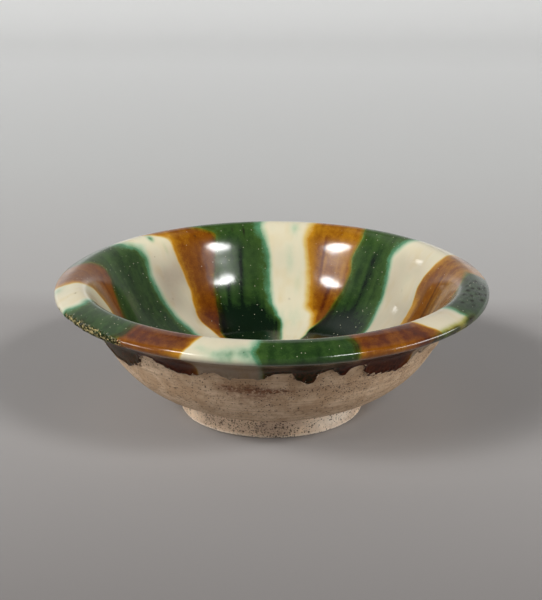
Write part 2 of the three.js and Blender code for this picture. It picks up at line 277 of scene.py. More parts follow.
# Greenish smudges in the cream strokes: azimuth, reach, half width, half length, and strength
GREEN_SMUDGES = [
    (172, -3.6, 2.0, 3.0, 0.10), (173, -17.7, 1.8, 6.0, 0.06), (169, -28, 1.6, 5.0, 0.04),
    (352, 6.6, 4.4, 2.6, 0.20), (348, 8.0, 4.6, 2.0, 0.16), (356, 7.6, 3.2, 2.6, 0.26),
    (343, 6.0, 2.6, 1.6, 0.08), (225, -2, 1.2, 1.6, 0.35), (221, -8, 0.8, 3.0, 0.05),
    (50, 9.6, 6.5, 1.6, 0.55), (59, 9.2, 4.6, 1.6, 0.60), (44, 10.2, 4.5, 1.5, 0.50),
    (280, 7, 3.0, 2.2, 0.12), (168, -46, 2.6, 5.0, 0.05), (176, -50, 2.2, 5.0, 0.16),
]

# Brownish smudges in the same way
BROWN_SMUDGES = [
    (50, 9.6, 6.5, 1.6, 0.70), (59, 9.2, 4.6, 1.6, 0.60), (40, 9.8, 4.5, 1.5, 0.35),
    (216, -42, 2.2, 3.6, 0.16), (306, 8.8, 6.0, 1.5, 0.40), (335, -1.0, 6.0, 1.4, 0.10),
    (97, -3, 3.0, 4.0, 0.14), (152, -42, 2.6, 6.0, 0.22), (206, -46, 2.0, 7.0, 0.30),
    (176, 6, 5.0, 2.0, 0.10),
]

# Where the rim has flaked: azimuth, reach, half width, half length, and strength
FLAKES = [
    (297, 10.3, 4.4, 1.9, 1.0), (303, 10.1, 4.4, 1.9, 1.1), (309, 9.9, 4.4, 1.9, 1.1),
    (315, 9.9, 4.0, 1.7, 1.0), (320, 10.0, 3.4, 1.3, 0.8), (291, 10.5, 3.4, 1.5, 0.7),
    (285, 10.8, 3.0, 1.0, 0.4), (89, 10.2, 1.2, 1.2, 1.3), (84, 10.4, 1.0, 1.0, 1.2),
    (54, 10.2, 6.0, 0.8, 0.55), (64, 10.6, 3.0, 0.6, 0.5), (346, 11.4, 3.0, 0.5, 0.3),
    (12, 11.4, 5.0, 0.6, 0.35), (30, 11.6, 5.0, 0.6, 0.3), (118, 10.8, 3.0, 0.6, 0.5),
    (170, 10.8, 4.0, 0.6, 0.4), (205, 10.8, 3.0, 0.7, 0.5), (250, 10.7, 4.0, 0.6, 0.5),
]

# Rust and dirt on the slip: azimuth, drop below the neck, half width, half length, and strength
RUST_STAINS = [
    (353, 7.8, 5.6, 2.4, 1.3), (359, 8.4, 3.4, 1.4, 1.0), (3, 8.8, 4.6, 0.9, 1.4),
    (357, 12.0, 4.0, 1.8, 0.6), (346, 7.4, 3.4, 2.0, 0.8), (322, 3.0, 1.6, 1.6, 0.35),
    (24, 8.8, 2.0, 0.8, 0.35), (351, 12.0, 9.0, 5.0, 0.34), (354, 18.0, 12.0, 4.0, 0.12),
    (330, 20.0, 12.0, 3.0, 0.08), (12, 8.4, 3.0, 0.9, 0.30), (46, 8.8, 3.2, 0.9, 0.55),
    (301, 10.4, 3.4, 0.9, 0.50), (66, 6.4, 2.6, 1.2, 0.45), (100, 6.0, 3.0, 1.2, 0.5),
    (150, 8.6, 3.4, 1.2, 0.5), (196, 9.0, 3.6, 1.2, 0.5), (232, 7.6, 2.6, 1.2, 0.5),
    (262, 5.4, 3.0, 1.2, 0.4),
]

# Where the slip is full of black specks, in the same way
SLIP_GRIME = [
    (22, 9.0, 15.0, 3.5, 0.9), (38, 7.0, 10.0, 4.0, 0.9), (8, 11.0, 10.0, 4.0, 0.45),
    (350, 6.5, 8.0, 2.0, 0.6), (318, 8.0, 2.0, 2.0, 0.4), (56, 6.0, 9.0, 4.0, 0.8),
    (30, 15.0, 16.0, 3.0, 0.40), (300, 6.0, 6.0, 2.0, 0.2), (100, 9.0, 14.0, 4.0, 0.7),
    (160, 8.0, 16.0, 4.0, 0.6), (215, 9.0, 12.0, 4.0, 0.7), (262, 8.0, 9.0, 4.0, 0.5),
]

# Where the pits of the foot are crowded and dark: azimuth, height, half width, half length, and strength
FOOT_GRIME = [
    (350, 3.0, 13.0, 5.0, 1.0), (6, 4.0, 9.0, 4.0, 0.7), (330, 5.0, 7.0, 3.0, 0.6),
    (318, 3.0, 5.0, 4.0, 0.4), (60, 4.0, 10.0, 4.0, 0.4), (120, 3.0, 12.0, 4.0, 0.8),
    (185, 4.0, 14.0, 5.0, 0.7), (250, 3.0, 12.0, 4.0, 0.8),
]

# Painted light on the foot: where its sides are painted paler, on the two sides that the lamps strike and one
# patch at the back, in the same way
FOOT_PAINTED_LIGHT = [
    (36, 4.5, 9.0, 3.5, 0.8), (50, 5.0, 6.0, 3.0, 0.5), (303, 5.0, 5.0, 3.0, 0.3),
    (200, 4.0, 8.0, 3.0, 0.5),
]


def point(radius, height):
    return np.array([radius, height], float)


def step(distance, degrees):
    """A step of a given length, at an angle above the horizontal. A negative one goes back."""
    angle = math.radians(degrees)
    return point(distance * math.cos(angle), distance * math.sin(angle))


def bend(start, start_handle, end_handle, end, count=90):
    """A Bezier curve from a start to an end, each with the handle that leads away from it."""
    share = np.linspace(0, 1, count)[:, None]
    back = 1 - share
    first = start + start_handle
    second = end + end_handle
    return back**3 * start + 3 * back**2 * share * first + 3 * back * share**2 * second + share**3 * end


def between(low, high, values):
    """0 below low, 1 above high and a soft step between them. Low may be the greater."""
    share = np.clip((values - low) / (high - low), 0, 1)
    return share * share * (3 - 2 * share)


def band(values, start, full, fading, stop):
    """1 from full to fading and 0 outside start and stop, with soft steps between them."""
    return between(start, full, values) * between(stop, fading, values)


def hump(values, middle, width):
    """A soft hump that is 1 at its middle."""
    return np.exp(-(((values - middle) / width) ** 2))


def softened(values, spacing, width):
    """Evenly spaced values, smoothed over a width. Their ends stay where they are."""
    half = int(4 * width / spacing)
    kernel = np.exp(-0.5 * (np.arange(-half, half + 1) * spacing / width) ** 2)
    padded = np.pad(values, half, mode="reflect", reflect_type="odd")
    return np.convolve(padded, kernel / kernel.sum(), mode="valid")


def sizes_in_mm(context):
    group = context.scene.bowl_sizes
    return SimpleNamespace(**{name: getattr(group, name) / MM for name in BowlSizes.__annotations__})


class Meridian:
    """The surface of the clay, as a line of radius and height from the well to the seat on the foot."""

    SPACING = 0.1
    SOFTENING = 0.4
    # The gap between the clay and the coat that lies on it
    SKIN = 0.3
    # Slopes in degrees and, for each curve, the lengths of the handles at its two ends
    NECK_SLOPE = 62
    SEAT_SLOPE = 23
    EDGE_SLOPE = 30
    WALL_HANDLES = (10.5, 23)
    WELL_HANDLES = (9, 9)
    LIP_HANDLES = (7, 3.6)
    CREST_HANDLES = (2.5, 2.5)
    UNDER_HANDLES = (8, 4.5)
    # How far down the wall, as a share, its inside runs before it bends into the well
    INSIDE_SHARE = 0.75

    def __init__(self, sizes):
        cover = self.SKIN + sizes.glaze
        rim = sizes.rim_diameter / 2 - cover
        top = sizes.height - cover
        floor = sizes.base_height + sizes.floor_thickness
        crest = point(rim - sizes.crest_inset, top)
        neck = point(rim - sizes.lip_reach, top - sizes.lip_drop)
        seat = point(sizes.foot_diameter / 2 + sizes.base_overhang, sizes.base_height)
        start, end = self.WALL_HANDLES
        outside = bend(neck, step(-start, self.NECK_SLOPE), step(end, self.SEAT_SLOPE), seat)
        inside = self.inside_of(outside, sizes)
        flat_end = point(sizes.flat_radius, floor)
        rising = inside[2] - inside[0]
        rising *= self.WELL_HANDLES[1] / np.hypot(*rising)
        turn = np.radians(np.linspace(60, -60, 40))
        edge_middle = point(rim - sizes.edge_round, top - sizes.lip_fall)
        edge = edge_middle + sizes.edge_round * np.stack([np.cos(turn), np.sin(turn)], axis=1)
        lip, crown, under = self.LIP_HANDLES, self.CREST_HANDLES, self.UNDER_HANDLES
        parts = [
            np.linspace(point(0, floor), flat_end, 40),
            bend(flat_end, point(self.WELL_HANDLES[0], 0), -rising, inside[0]),
            inside,
            bend(inside[-1], step(lip[0], self.NECK_SLOPE), point(-lip[1], 0), crest),
            bend(crest, point(crown[0], 0), step(-crown[1], -self.EDGE_SLOPE), edge[0]),
            edge,
            bend(edge[-1], step(-under[0], self.EDGE_SLOPE), step(under[1], self.NECK_SLOPE), neck),
            outside,
        ]
        line = np.vstack([parts[0]] + [part[1:] for part in parts[1:]])
        ends = np.cumsum([len(part) - 1 for part in parts])
        along = np.concatenate([[0], np.cumsum(np.hypot(*np.diff(line, axis=0).T))])
        even = np.arange(0, along[-1], self.SPACING)
        self.radius, self.height = [
            softened(np.interp(even, along, values), self.SPACING, self.SOFTENING) for values in line.T
        ]
        to_crest = along[ends[3]]
        self.reach = even - to_crest
        self.centre = self.reach[0]
        self.neck = along[ends[6]] - to_crest
        self.seat = self.reach[-1]
        slope = np.hypot(np.gradient(self.radius), np.gradient(self.height))
        self.across = -np.gradient(self.height) / slope
        self.up = np.gradient(self.radius) / slope

    def inside_of(self, outside, sizes):
        """The inside of the wall, from low on the wall to the neck, square to its outside."""
        share = np.linspace(0, 1, len(outside))
        along = np.gradient(outside, axis=0)
        along /= np.hypot(along[:, 0], along[:, 1])[:, None]
        wall = sizes.neck_wall + (sizes.base_wall - sizes.neck_wall) * share**1.5
        inner = outside + np.stack([along[:, 1], -along[:, 0]], axis=1) * wall[:, None]
        return inner[share <= self.INSIDE_SHARE][::-1]

    def at(self, reach, raised=0.0):
        """Radius and height at a reach, raised off the surface by so many millimetres."""
        lines = (self.radius, self.height, self.across, self.up)
        radius, height, across, up = [np.interp(reach, self.reach, values) for values in lines]
        return radius + raised * across, height + raised * up

    def line(self, reach, raised=0.0):
        return np.stack(self.at(reach, raised), axis=1)

    def reach_at(self, radius):
        """The reach inside the bowl at a radius."""
        inside = self.reach < -5
        return float(np.interp(radius, self.radius[inside], self.reach[inside]))

    def outside_reach(self, height):
        """The reach on the outside of the wall at a height."""
        wall = self.reach > self.neck - 4
        return np.interp(-height, -self.height[wall], self.reach[wall])


def waves(seed, azimuth, reach, around, along):
    """Smooth noise from -1 to 1 that closes round the bowl. Around counts cells, along is a cell's length."""
    random = np.random.default_rng(seed)
    rows = int(200 / along) + 3
    table = random.uniform(-1, 1, (rows, around))
    column = (azimuth % 360) / 360 * around
    row = np.clip((reach + 100) / along, 0, rows - 2.001)
    left = np.floor(column).astype(int)
    low = np.floor(row).astype(int)
    across = between(0, 1, column - left)
    upward = between(0, 1, row - low)
    left = left % around
    right = (left + 1) % around
    below, above = [
        table[line, left] * (1 - across) + table[line, right] * across for line in (low, low + 1)
    ]
    return below * (1 - upward) + above * upward


def layered(layers, azimuth, reach):
    """Layers of waves added up, each given as its weight, seed, cells around and length of a cell."""
    return sum(weight * waves(seed, azimuth, reach, *cell) for weight, seed, *cell in layers)


def turn_from(azimuth, start):
    """How far an azimuth is round from another, from -180 to 180."""
    return (azimuth - start + 180) % 360 - 180


def marks(places, azimuth, reach, radius):
    """The soft round marks of a list of places, added up."""
    total = np.zeros(np.broadcast(azimuth, reach).shape)
    for at_azimuth, at_reach, half_width, half_length, strength in places:
        sideways = np.radians(turn_from(azimuth, at_azimuth)) * radius / half_width
        lengthwise = (reach - at_reach) / half_length
        total = total + strength * np.exp(-(sideways**2) - lengthwise**2)
    return total


class Coat:
    """The coat of glaze over the whole bowl: where each stroke lies, its colour and its thickness."""

    EDGE_SPACING = 0.5
    # Width in millimetres over which a stroke fades in at its side, by the pair of glazes that meet
    FADES = {"amber cream": 1.5, "cream green": 4.4, "amber green": 3.0}
    # Where a fade starts and ends about the side, in its own widths, and how much wider it is on the lip
    FADE_FROM, FADE_TO, WIDER_ON_LIP = -0.45, 0.55, 0.5
    # The wander of the brush at a stroke's side: weight, first seed and length of a cell
    WANDER = [(0.30, 100, 5.0), (0.14, 140, 1.9)]
    WANDER_STOPS = (14, 8)
    SMALLEST_TURN = 12
    # How far green and amber run into each other
    OVERLAP = 0.9
    # The ends of the runs are rounded over this width, with a thick roll a little further in
    BEAD = 0.8
    ROLL_PLACE, ROLL_WIDTH, ROLL_HEIGHT = 1.0, 0.8, 0.55
    # How far the shell's hidden side lies under the surface of the coat's skin
    DEPTH = 0.2
    # What a flaked place loses of the glaze's thickness, and its depth below the skin
    FLAKE_LOSS, FLAKE_DEPTH = 0.75, 0.18
    # Where a worn patch starts and is full, how ragged it is, and where that starts and is full
    FLAKED, RAGGEDNESS, RAGGED = (0.28, 0.62), 0.65, (0.05, 0.3)
    # How thick each glaze lies, against the usual thickness
    LAID = {"cream": 0.985, "amber": 1.0, "green": 1.012}
    # How strong green and amber are: at the side of a stroke, what its middle adds, and the weight of the
    # streaks, of the fine and of the broad waves
    LEVELS = {"green": (0.56, 0.34, 0.16, 0.10, 0.12), "amber": (0.43, 0.33, 0.11, 0.05, 0.16)}
    MIDDLE = 6
    # What copper and iron lose on the crest and on the edge of the lip, where the glaze is thin
    CREST_LOSS = {"green": 0.12, "amber": 0.10}
    EDGE_LOSS = {"green": 0.10, "amber": 0.36}
    # Outside, the clay stains the runs with its iron, the more so where there is copper between two amounts
    CLAY_IRON, IRON_WITH_COPPER, COPPER_AMOUNTS = 0.04, 0.42, (0.3, 0.8)
    COPPER_LOST_OUTSIDE = 0.48
    # How dark the broken line under the lip is, partly a thick bead of glaze and partly painted shade under
    # the overhang, and the values of its waves at which it comes and is full
    UNDER_LIP_DARK, UNDER_LIP_GAPS = 0.85, (-1.0, 0.3)
    # What both metals lose where strokes overlap
    OVERLAP_LOSS = 0.44
    # What a dark streak adds to copper and to iron, and the amounts between which it comes in
    STREAK_COPPER, STREAK_IRON = (0.5, 0.4, 0.8), (0.38, 0.35, 0.7)
    MOTTLED_COPPER, MOTTLED_IRON, EVEN_IRON = 0.020, 0.045, 0.02
    # The pool: where it starts and is full as a radius, its share, its copper and its iron
    POOL_SHORE, POOL_SHARE, POOL_COPPER, POOL_IRON = (24, 9), 0.8, 1.05, 0.42
    # Stretches of reach, where a change starts and is full
    LOW_IN_THE_BOWL = (-31, -52)
    WELL_FROM = -50
    INSIDE = (-3, -12)
    OUTSIDE = (11.5, 16)
    BARE = (11, 16)
    # Stretches of reach: start, full from, full to, stop
    WIDE_SIDES = (-13, -3, 1, 7)
    THIN_CREST = (-12, -3, 3, 9)
    LIP_EDGE = (5.6, 9.0, 10.8, 11.8)
    UNDER_LIP = (10.8, 11.6, 12.6, 13.6)
    # Layers of waves: weight, seed, cells around and length of a cell
    STREAKS = [(0.6, 51, 260, 26), (0.4, 52, 120, 40)]
    FINE = [(0.5, 53, 520, 9), (0.5, 54, 300, 3.2)]
    BROAD = [(0.6, 55, 44, 22), (0.4, 56, 90, 12)]
    MOTTLE = [(0.5, 61, 90, 7), (0.5, 62, 200, 4)]
    BLOTCHES = [(0.3, 63, 220, 2.2), (0.2, 65, 520, 1.0)]
    UNDER_LIP_WAVES = [(1.0, 64, 160, 5)]
    SHORE_WAVES = [(2.5, 71, 26, 9)]
    SLIP_CLOUD = [(0.5, 91, 40, 10)]
    SWELL = [(0.018, 41, 60, 9), (0.011, 42, 150, 4), (0.007, 43, 200, 24), (0.003, 44, 5, 3.2)]
    FLAKED_EDGE = [(0.5, 81, 1100, 0.5), (0.5, 82, 420, 1.2)]
    RUN_EDGE = [(0.9, 31, 110, 50), (0.5, 32, 260, 50)]

    def __init__(self, meridian, sizes):
        self.meridian = meridian
        self.film = sizes.glaze
        self.pool = sizes.pool
        self.pool_reach = meridian.reach_at(sizes.pool_radius)
        self.sample = np.arange(meridian.centre, meridian.seat, self.EDGE_SPACING)
        self.edges = [self.edge_line(number, places) for number, (_, places) in enumerate(STROKES)]
        azimuths, drops = np.array(RUN_ENDS, float).T
        self.run_azimuths = np.concatenate([azimuths - 360, azimuths, azimuths + 360])
        self.run_drops = np.tile(drops, 3)

    @staticmethod
    def name(number):
        """A stroke's name. The numbers go round the bowl again and again."""
        return STROKES[number % len(STROKES)][0]

    @classmethod
    def glaze(cls, number):
        return cls.name(number).split("_")[0]

    def radius(self, reach):
        """The radius at a reach, kept off zero so that it can be divided by."""
        return np.maximum(self.meridian.at(reach)[0], 0.5)

    @staticmethod
    def openness(radius):
        """How much of the noise round the bowl there is at a radius. It closes up in the well."""
        return np.clip(radius / 20, 0, 1)

    def edge_line(self, number, places):
        """The azimuth of a stroke's clockwise side at each sample, with the wander of a brush."""
        reach, azimuth = np.array(places, float).T
        azimuth = azimuth + 360 * (azimuth < FIRST_AZIMUTH)
        line = softened(np.interp(self.sample, reach, azimuth), self.EDGE_SPACING, 1.0)
        radius = np.maximum(self.meridian.at(self.sample)[0], self.SMALLEST_TURN)
        layers = [(weight, seed + number, 4, along) for weight, seed, along in self.WANDER]
        wander = layered(layers, 0 * self.sample, self.sample) * between(*self.WANDER_STOPS, self.sample)
        return line + np.degrees(wander / radius)

    def edge(self, number, reach):
        """The azimuth of the clockwise side of any stroke, counted on past the last one."""
        lap, index = divmod(number, len(self.edges))
        return np.interp(reach, self.sample, self.edges[index]) + 360 * lap

    def side_distance(self, number, azimuth, reach, radius):
        """Distance in millimetres past the clockwise side of a stroke, square to that side."""
        slant = np.radians(self.edge(number, reach + 0.5) - self.edge(number, reach - 0.5)) * radius
        return np.radians(azimuth - self.edge(number, reach)) * radius / np.sqrt(1 + slant**2)

    def inward(self, number, azimuth, reach, radius):
        """For both sides of a stroke, the side's own number and the distance in from it."""
        for side, sign in ((number, 1), (number + 1, -1)):
            yield side, sign * self.side_distance(side, azimuth, reach, radius)

    def meeting(self, number):
        """The two glazes that meet at the clockwise side of a stroke."""
        return sorted([self.glaze(number), self.glaze(number - 1)])

    def fade(self, number):
        """The width of the fade at the clockwise side of a stroke."""
        return WIDE_FADES.get(self.name(number), self.FADES[" ".join(self.meeting(number))])

    def cover(self, number, azimuth, reach, radius, overlap=0.0):
        """How fully a stroke covers a place, from 0 to 1. Green and amber can be made to overlap."""
        wide = 1 + self.WIDER_ON_LIP * band(reach, *self.WIDE_SIDES)
        covered = 1.0
        for side, depth in self.inward(number, azimuth, reach, radius):
            width = self.fade(side) * wide
            depth = depth + overlap * ("cream" not in self.meeting(side))
            covered = covered * between(self.FADE_FROM * width, self.FADE_TO * width, depth)
        return covered

    def depth_in(self, number, azimuth, reach, radius):
        """Distance in millimetres from the nearest side where a stroke thins out against cream."""
        nearest = np.full(radius.shape, 2.0 * self.MIDDLE)
        for side, depth in self.inward(number, azimuth, reach, radius):
            if "cream" in self.meeting(side):
                nearest = np.minimum(nearest, depth)
        return nearest

    def end_reach(self, azimuth):
        """The reach at which the glaze ends on the outside."""
        smooth = np.interp(azimuth % 360, self.run_azimuths, self.run_drops)
        return self.meridian.neck + smooth + layered(self.RUN_EDGE, azimuth, 0 * azimuth)

    def to_end(self, azimuth, reach, radius):
        """Distance in millimetres to the ragged end of the glaze, square to it."""
        quarter = 0.25
        across = np.radians(2 * quarter) * radius
        slant = (self.end_reach(azimuth + quarter) - self.end_reach(azimuth - quarter)) / across
        return (self.end_reach(azimuth) - reach) / np.sqrt(1 + slant**2)

    def colours(self, azimuth, reach, numbers):
        """How much copper and how much iron the glaze holds."""
        radius = self.radius(reach)
        around = self.openness(radius)
        streaks, fine, broad = [
            layered(layers, azimuth, reach) for layers in (self.STREAKS, self.FINE, self.BROAD)
        ]
        held = {"green": np.zeros(radius.shape), "amber": np.zeros(radius.shape)}
        pooled = between(*self.LOW_IN_THE_BOWL, reach)
        for number in numbers:
            name, glaze = self.name(number), self.glaze(number)
            if glaze == "cream":
                continue
            covered = self.cover(number, azimuth, reach, radius, self.OVERLAP) * STRENGTHS.get(name, 1.0)
            covered = covered * (1 + pooled * POOLING.get(name, USUAL_POOLING))
            middle = between(0, self.MIDDLE, self.depth_in(number, azimuth, reach, radius))
            side, rise, streak, fleck, cloud = self.LEVELS[glaze]
            level = side + rise * middle + around * (streak * streaks + fleck * fine + cloud * broad)
            held[glaze] = held[glaze] + covered * level
        # The glaze has run down from the crest and the edge of the lip, so it is thin there
        thin = band(reach, *self.THIN_CREST)
        at_edge = band(reach, *self.LIP_EDGE)
        copper, iron = [
            amount_held * (1 - self.CREST_LOSS[glaze] * thin - self.EDGE_LOSS[glaze] * at_edge)
            for glaze, amount_held in held.items()
        ]
        outside = between(*self.OUTSIDE, reach)
        stained = self.CLAY_IRON + self.IRON_WITH_COPPER * between(*self.COPPER_AMOUNTS, copper)
        iron = iron * (1 - self.CLAY_IRON * outside) + outside * stained
        copper = copper * (1 - self.COPPER_LOST_OUTSIDE * outside)
        both = self.OVERLAP_LOSS * np.minimum(copper, iron) * (1 - outside)
        copper = copper - both
        iron = iron - both
        for top, foot, start, stop, width in DARK_STREAKS:
            share = np.clip((reach - start) / (stop - start), 0, 1)
            sideways = np.radians(turn_from(azimuth, top + (foot - top) * share)) * radius
            line = hump(sideways, 0, width) * band(reach, start + 2, start - 4, stop + 6, stop - 6)
            added, *amounts = self.STREAK_COPPER
            copper = copper + added * line * between(*amounts, copper)
            added, *amounts = self.STREAK_IRON
            iron = iron + added * line * between(*amounts, iron)
        mottle = layered(self.MOTTLE, azimuth, reach)
        blotches = 1 + layered(self.BLOTCHES, azimuth, reach)
        copper = copper + marks(GREEN_SMUDGES, azimuth, reach, radius) * blotches
        iron = iron + marks(BROWN_SMUDGES, azimuth, reach, radius) * blotches
        copper = copper + np.maximum(mottle, 0) * self.MOTTLED_COPPER
        iron = iron + self.EVEN_IRON + np.maximum(-mottle, 0) * self.MOTTLED_IRON
        # In the middle of the well the strokes run into one pool
        shore = radius + around * layered(self.SHORE_WAVES, azimuth, reach)
        mixed = self.POOL_SHARE * between(*self.POOL_SHORE, shore)
        copper = copper * (1 - mixed) + mixed * self.POOL_COPPER
        iron = iron * (1 - mixed) + mixed * self.POOL_IRON
        return np.maximum(copper, 0), np.maximum(iron, 0)

    def thinness(self, azimuth, reach, numbers):
        """How much of the clay shows through the white slip inside the bowl and on the lip."""
        radius = self.radius(reach)
        inside = between(*self.INSIDE, reach)
        total = np.zeros(radius.shape)
        for number in numbers:
            name = self.name(number)
            if name in THINNESS or name in LIP_THINNESS:
                share = THINNESS.get(name, 0) * inside + LIP_THINNESS.get(name, 0) * (1 - inside)
                total = total + share * self.cover(number, azimuth, reach, radius)
        return total * (1 + layered(self.SLIP_CLOUD, azimuth, reach))

    def thickness(self, azimuth, reach, numbers):
        """How high the glaze stands on the clay or the slip, in millimetres."""
        radius = self.radius(reach)
        laid = np.zeros(radius.shape)
        total = np.zeros(radius.shape)
        for number in numbers:
            covered = self.cover(number, azimuth, reach, radius)
            laid = laid + self.LAID[self.glaze(number)] * covered
            total = total + covered
        low = between(self.WELL_FROM, self.pool_reach, reach)
        depth = self.film * laid / np.maximum(total, 0.3) * (1 - low) + self.pool * low
        depth = depth + self.openness(radius) * layered(self.SWELL, azimuth, reach)
        end = self.to_end(azimuth, reach, radius)
        roll = 1 + self.ROLL_HEIGHT * hump(end, self.ROLL_PLACE, self.ROLL_WIDTH)
        rounded = np.sqrt(np.maximum(1 - (1 - np.clip(end / self.BEAD, 0, 1)) ** 2, 0))
        flaked = self.flaked(azimuth, reach)
        return depth * roll * rounded * (1 - self.FLAKE_LOSS * flaked) - self.FLAKE_DEPTH * flaked

    def flaked(self, azimuth, reach):
        """Where the glaze has flaked off the rim, from 0 to 1, in ragged patches."""
        worn = marks(FLAKES, azimuth, reach, self.meridian.at(reach)[0])
        ragged = layered(self.FLAKED_EDGE, azimuth, reach)
        return between(*self.FLAKED, worn + self.RAGGEDNESS * ragged * between(*self.RAGGED, worn))

    def place(self, azimuth, reach, numbers):
        """The glaze's surface, in millimetres."""
        return self.raised(azimuth, reach, self.meridian.SKIN + self.thickness(azimuth, reach, numbers))

    def raised(self, azimuth, reach, height):
        radius, up = self.meridian.at(reach, height)
        angle = np.radians(azimuth)
        return np.stack([radius * np.sin(angle), -radius * np.cos(angle), up], axis=-1)

    def normals(self, azimuth, reach, numbers):
        """The glaze's normals, taken from the coat itself so that strokes meet without a seam."""
        small = 0.12
        turn = np.degrees(small / self.radius(reach))
        outward = self.place(azimuth, reach + small, numbers) - self.place(azimuth, reach - small, numbers)
        sideways = self.place(azimuth + turn, reach, numbers) - self.place(azimuth - turn, reach, numbers)
        normal = np.cross(outward, sideways)
        return normal / np.linalg.norm(normal, axis=-1)[..., None]

    def attributes(self, azimuth, reach, numbers):
        """The values that the glaze's material reads at each point."""
        radius = self.radius(reach)
        copper, iron = self.colours(azimuth, reach, numbers)
        # Under the lip a broken dark line is painted in: partly a thick bead of glaze, partly painted shade
        # under the overhang
        under = band(reach, *self.UNDER_LIP)
        under = under * between(*self.UNDER_LIP_GAPS, layered(self.UNDER_LIP_WAVES, azimuth, reach))
        dark = marks(DARK_MARKS, azimuth, reach, radius) + self.UNDER_LIP_DARK * under
        return {
            "copper": copper,
            "iron": iron,
            "bare": np.maximum(between(*self.BARE, reach), self.thinness(azimuth, reach, numbers)),
            "dark": np.clip(dark, 0, 1),
            "ending": np.minimum(self.to_end(azimuth, reach, radius), 6.0),
            "worn": self.flaked(azimuth, reach),
        }


# Making nodes

class Wire:
    """The output of a node. Sums, differences, products and quotients of wires make Math nodes."""

    def __init__(self, nodes, socket):
        self.nodes = nodes
        self.socket = socket

    def beside(self, output):
        """Another output of the same node."""
        return Wire(self.nodes, self.socket.node.outputs[output])

    def __add__(self, other):
        return self.nodes.calc("ADD", self, other)

    def __sub__(self, other):
        return self.nodes.calc("SUBTRACT", self, other)

    def __rsub__(self, other):
        return self.nodes.calc("SUBTRACT", other, self)

    def __mul__(self, other):
        return self.nodes.calc("MULTIPLY", self, other)

    def __truediv__(self, other):
        return self.nodes.calc("DIVIDE", self, other)

    def __rtruediv__(self, other):
        return self.nodes.calc("DIVIDE", other, self)


class Nodes:
    """A node tree, with a method for each kind of node that is used often."""

    def __init__(self, tree):
        self.tree = tree

    def feed(self, sockets, values):
        """Links each named socket to its wire, or sets it to its plain value."""
        for key, value in values.items():
            if isinstance(value, Wire):
                self.tree.links.new(value.socket, sockets[key])
            else:
                sockets[key].default_value = value

    def add(self, kind, inputs=None, output=0, **settings):
        """Adds a node with its settings and inputs, and gives one of its outputs."""
        node = self.tree.nodes.new(kind)
        for name, value in settings.items():
            setattr(node, name, value)
        self.feed(node.inputs, inputs or {})
        return Wire(self, node.outputs[output])

    def calc(self, operation, *values):
        return self.add("ShaderNodeMath", dict(enumerate(values)), operation=operation)

    def greatest(self, first, *others):
        for other in others:
            first = self.calc("MAXIMUM", first, other)
        return first

    def remap(self, value, from_low, from_high, to_low=0.0, to_high=1.0, kind="SMOOTHSTEP"):
        """A value moved from one range to another, and held inside it."""
        inputs = dict(enumerate([value, from_low, from_high, to_low, to_high]))
        return self.add("ShaderNodeMapRange", inputs, interpolation_type=kind)

    def mix(self, factor, first, second, kind="MIX"):
        """Two colours mixed. Each is a wire, or plain red, green and blue."""
        inputs = {0: factor}
        for key, shade in ((6, first), (7, second)):
            inputs[key] = shade if isinstance(shade, Wire) else (*shade, 1)
        return self.add("ShaderNodeMix", inputs, 2, data_type="RGBA", blend_type=kind)

    def ramp(self, factor, stops):
        """The colour of a ramp through its stops, each a position and a colour."""
        shade = self.add("ShaderNodeValToRGB", {0: factor})
        elements = shade.socket.node.color_ramp.elements
        while len(elements) < len(stops):
            elements.new(0.5)
        for element, (position, colour) in zip(elements, stops):
            element.position = position
            element.color = (*colour, 1)
        return shade

    def split(self, vector):
        first = self.add("ShaderNodeSeparateXYZ", {0: vector})
        return first, first.beside(1), first.beside(2)

    def join(self, x, y, z):
        return self.add("ShaderNodeCombineXYZ", {0: x, 1: y, 2: z})

    def noise(self, vector, scale, detail, roughness):
        """The value of a noise texture, from 0 to 1."""
        inputs = {"Vector": vector, "Scale": scale, "Detail": detail, "Roughness": roughness}
        return self.add("ShaderNodeTexNoise", inputs)

    def swing(self, *noise):
        """Noise that swings about zero."""
        return self.noise(*noise) - 0.5

    def cells(self, vector, scale):
        """The distance to the nearest cell's point, and that cell's random value."""
        distance = self.add("ShaderNodeTexVoronoi", {"Vector": vector, "Scale": scale}, "Distance")
        return distance, self.split(distance.beside("Color"))[0]

    def spots(self, vector, scale, size, share):
        """Round spots in a share of the cells of a texture, from 0 to 1."""
        distance, chance = self.cells(vector, scale)
        return self.remap(distance, size, size * 0.55) * self.calc("LESS_THAN", chance, share)

    def on_mesh(self, name):
        """A number that the mesh holds for each vertex under a name."""
        return self.add("ShaderNodeAttribute", None, "Fac", attribute_name=name)

    def here(self):
        """The place on the piece, which is also its place in the bowl."""
        return self.add("ShaderNodeTexCoord", None, "Object")

    def finished(self, geometry, material):
        """Geometry made real, with its material."""
        real = self.add("GeometryNodeRealizeInstances", {0: geometry})
        return self.add("GeometryNodeSetMaterial", {"Geometry": real, "Material": material})


def group_of(kind, inputs, outputs):
    """Makes a function that wires up a node group into one that gives the group, built at its first use.

    Inputs and outputs are the names of its sockets, by the kind of socket.
    """

    def decorate(wire_up):
        name = wire_up.__name__.replace("_", " ")

        def give_group():
            if name in bpy.data.node_groups:
                return bpy.data.node_groups[name]
            tree = bpy.data.node_groups.new(name, kind)
            for way, sockets in (("INPUT", inputs), ("OUTPUT", outputs)):
                for socket_kind, socket_names in sockets.items():
                    for socket_name in socket_names:
                        tree.interface.new_socket(
                            name=socket_name, in_out=way, socket_type=f"NodeSocket{socket_kind}"
                        )
            nodes = Nodes(tree)
            given = tree.nodes.new("NodeGroupInput").outputs
            wires = {socket.name: Wire(nodes, socket) for socket in given if socket.name}
            nodes.feed(tree.nodes.new("NodeGroupOutput").inputs, wire_up(nodes, wires))
            return tree

        return give_group

    return decorate


# Finishes

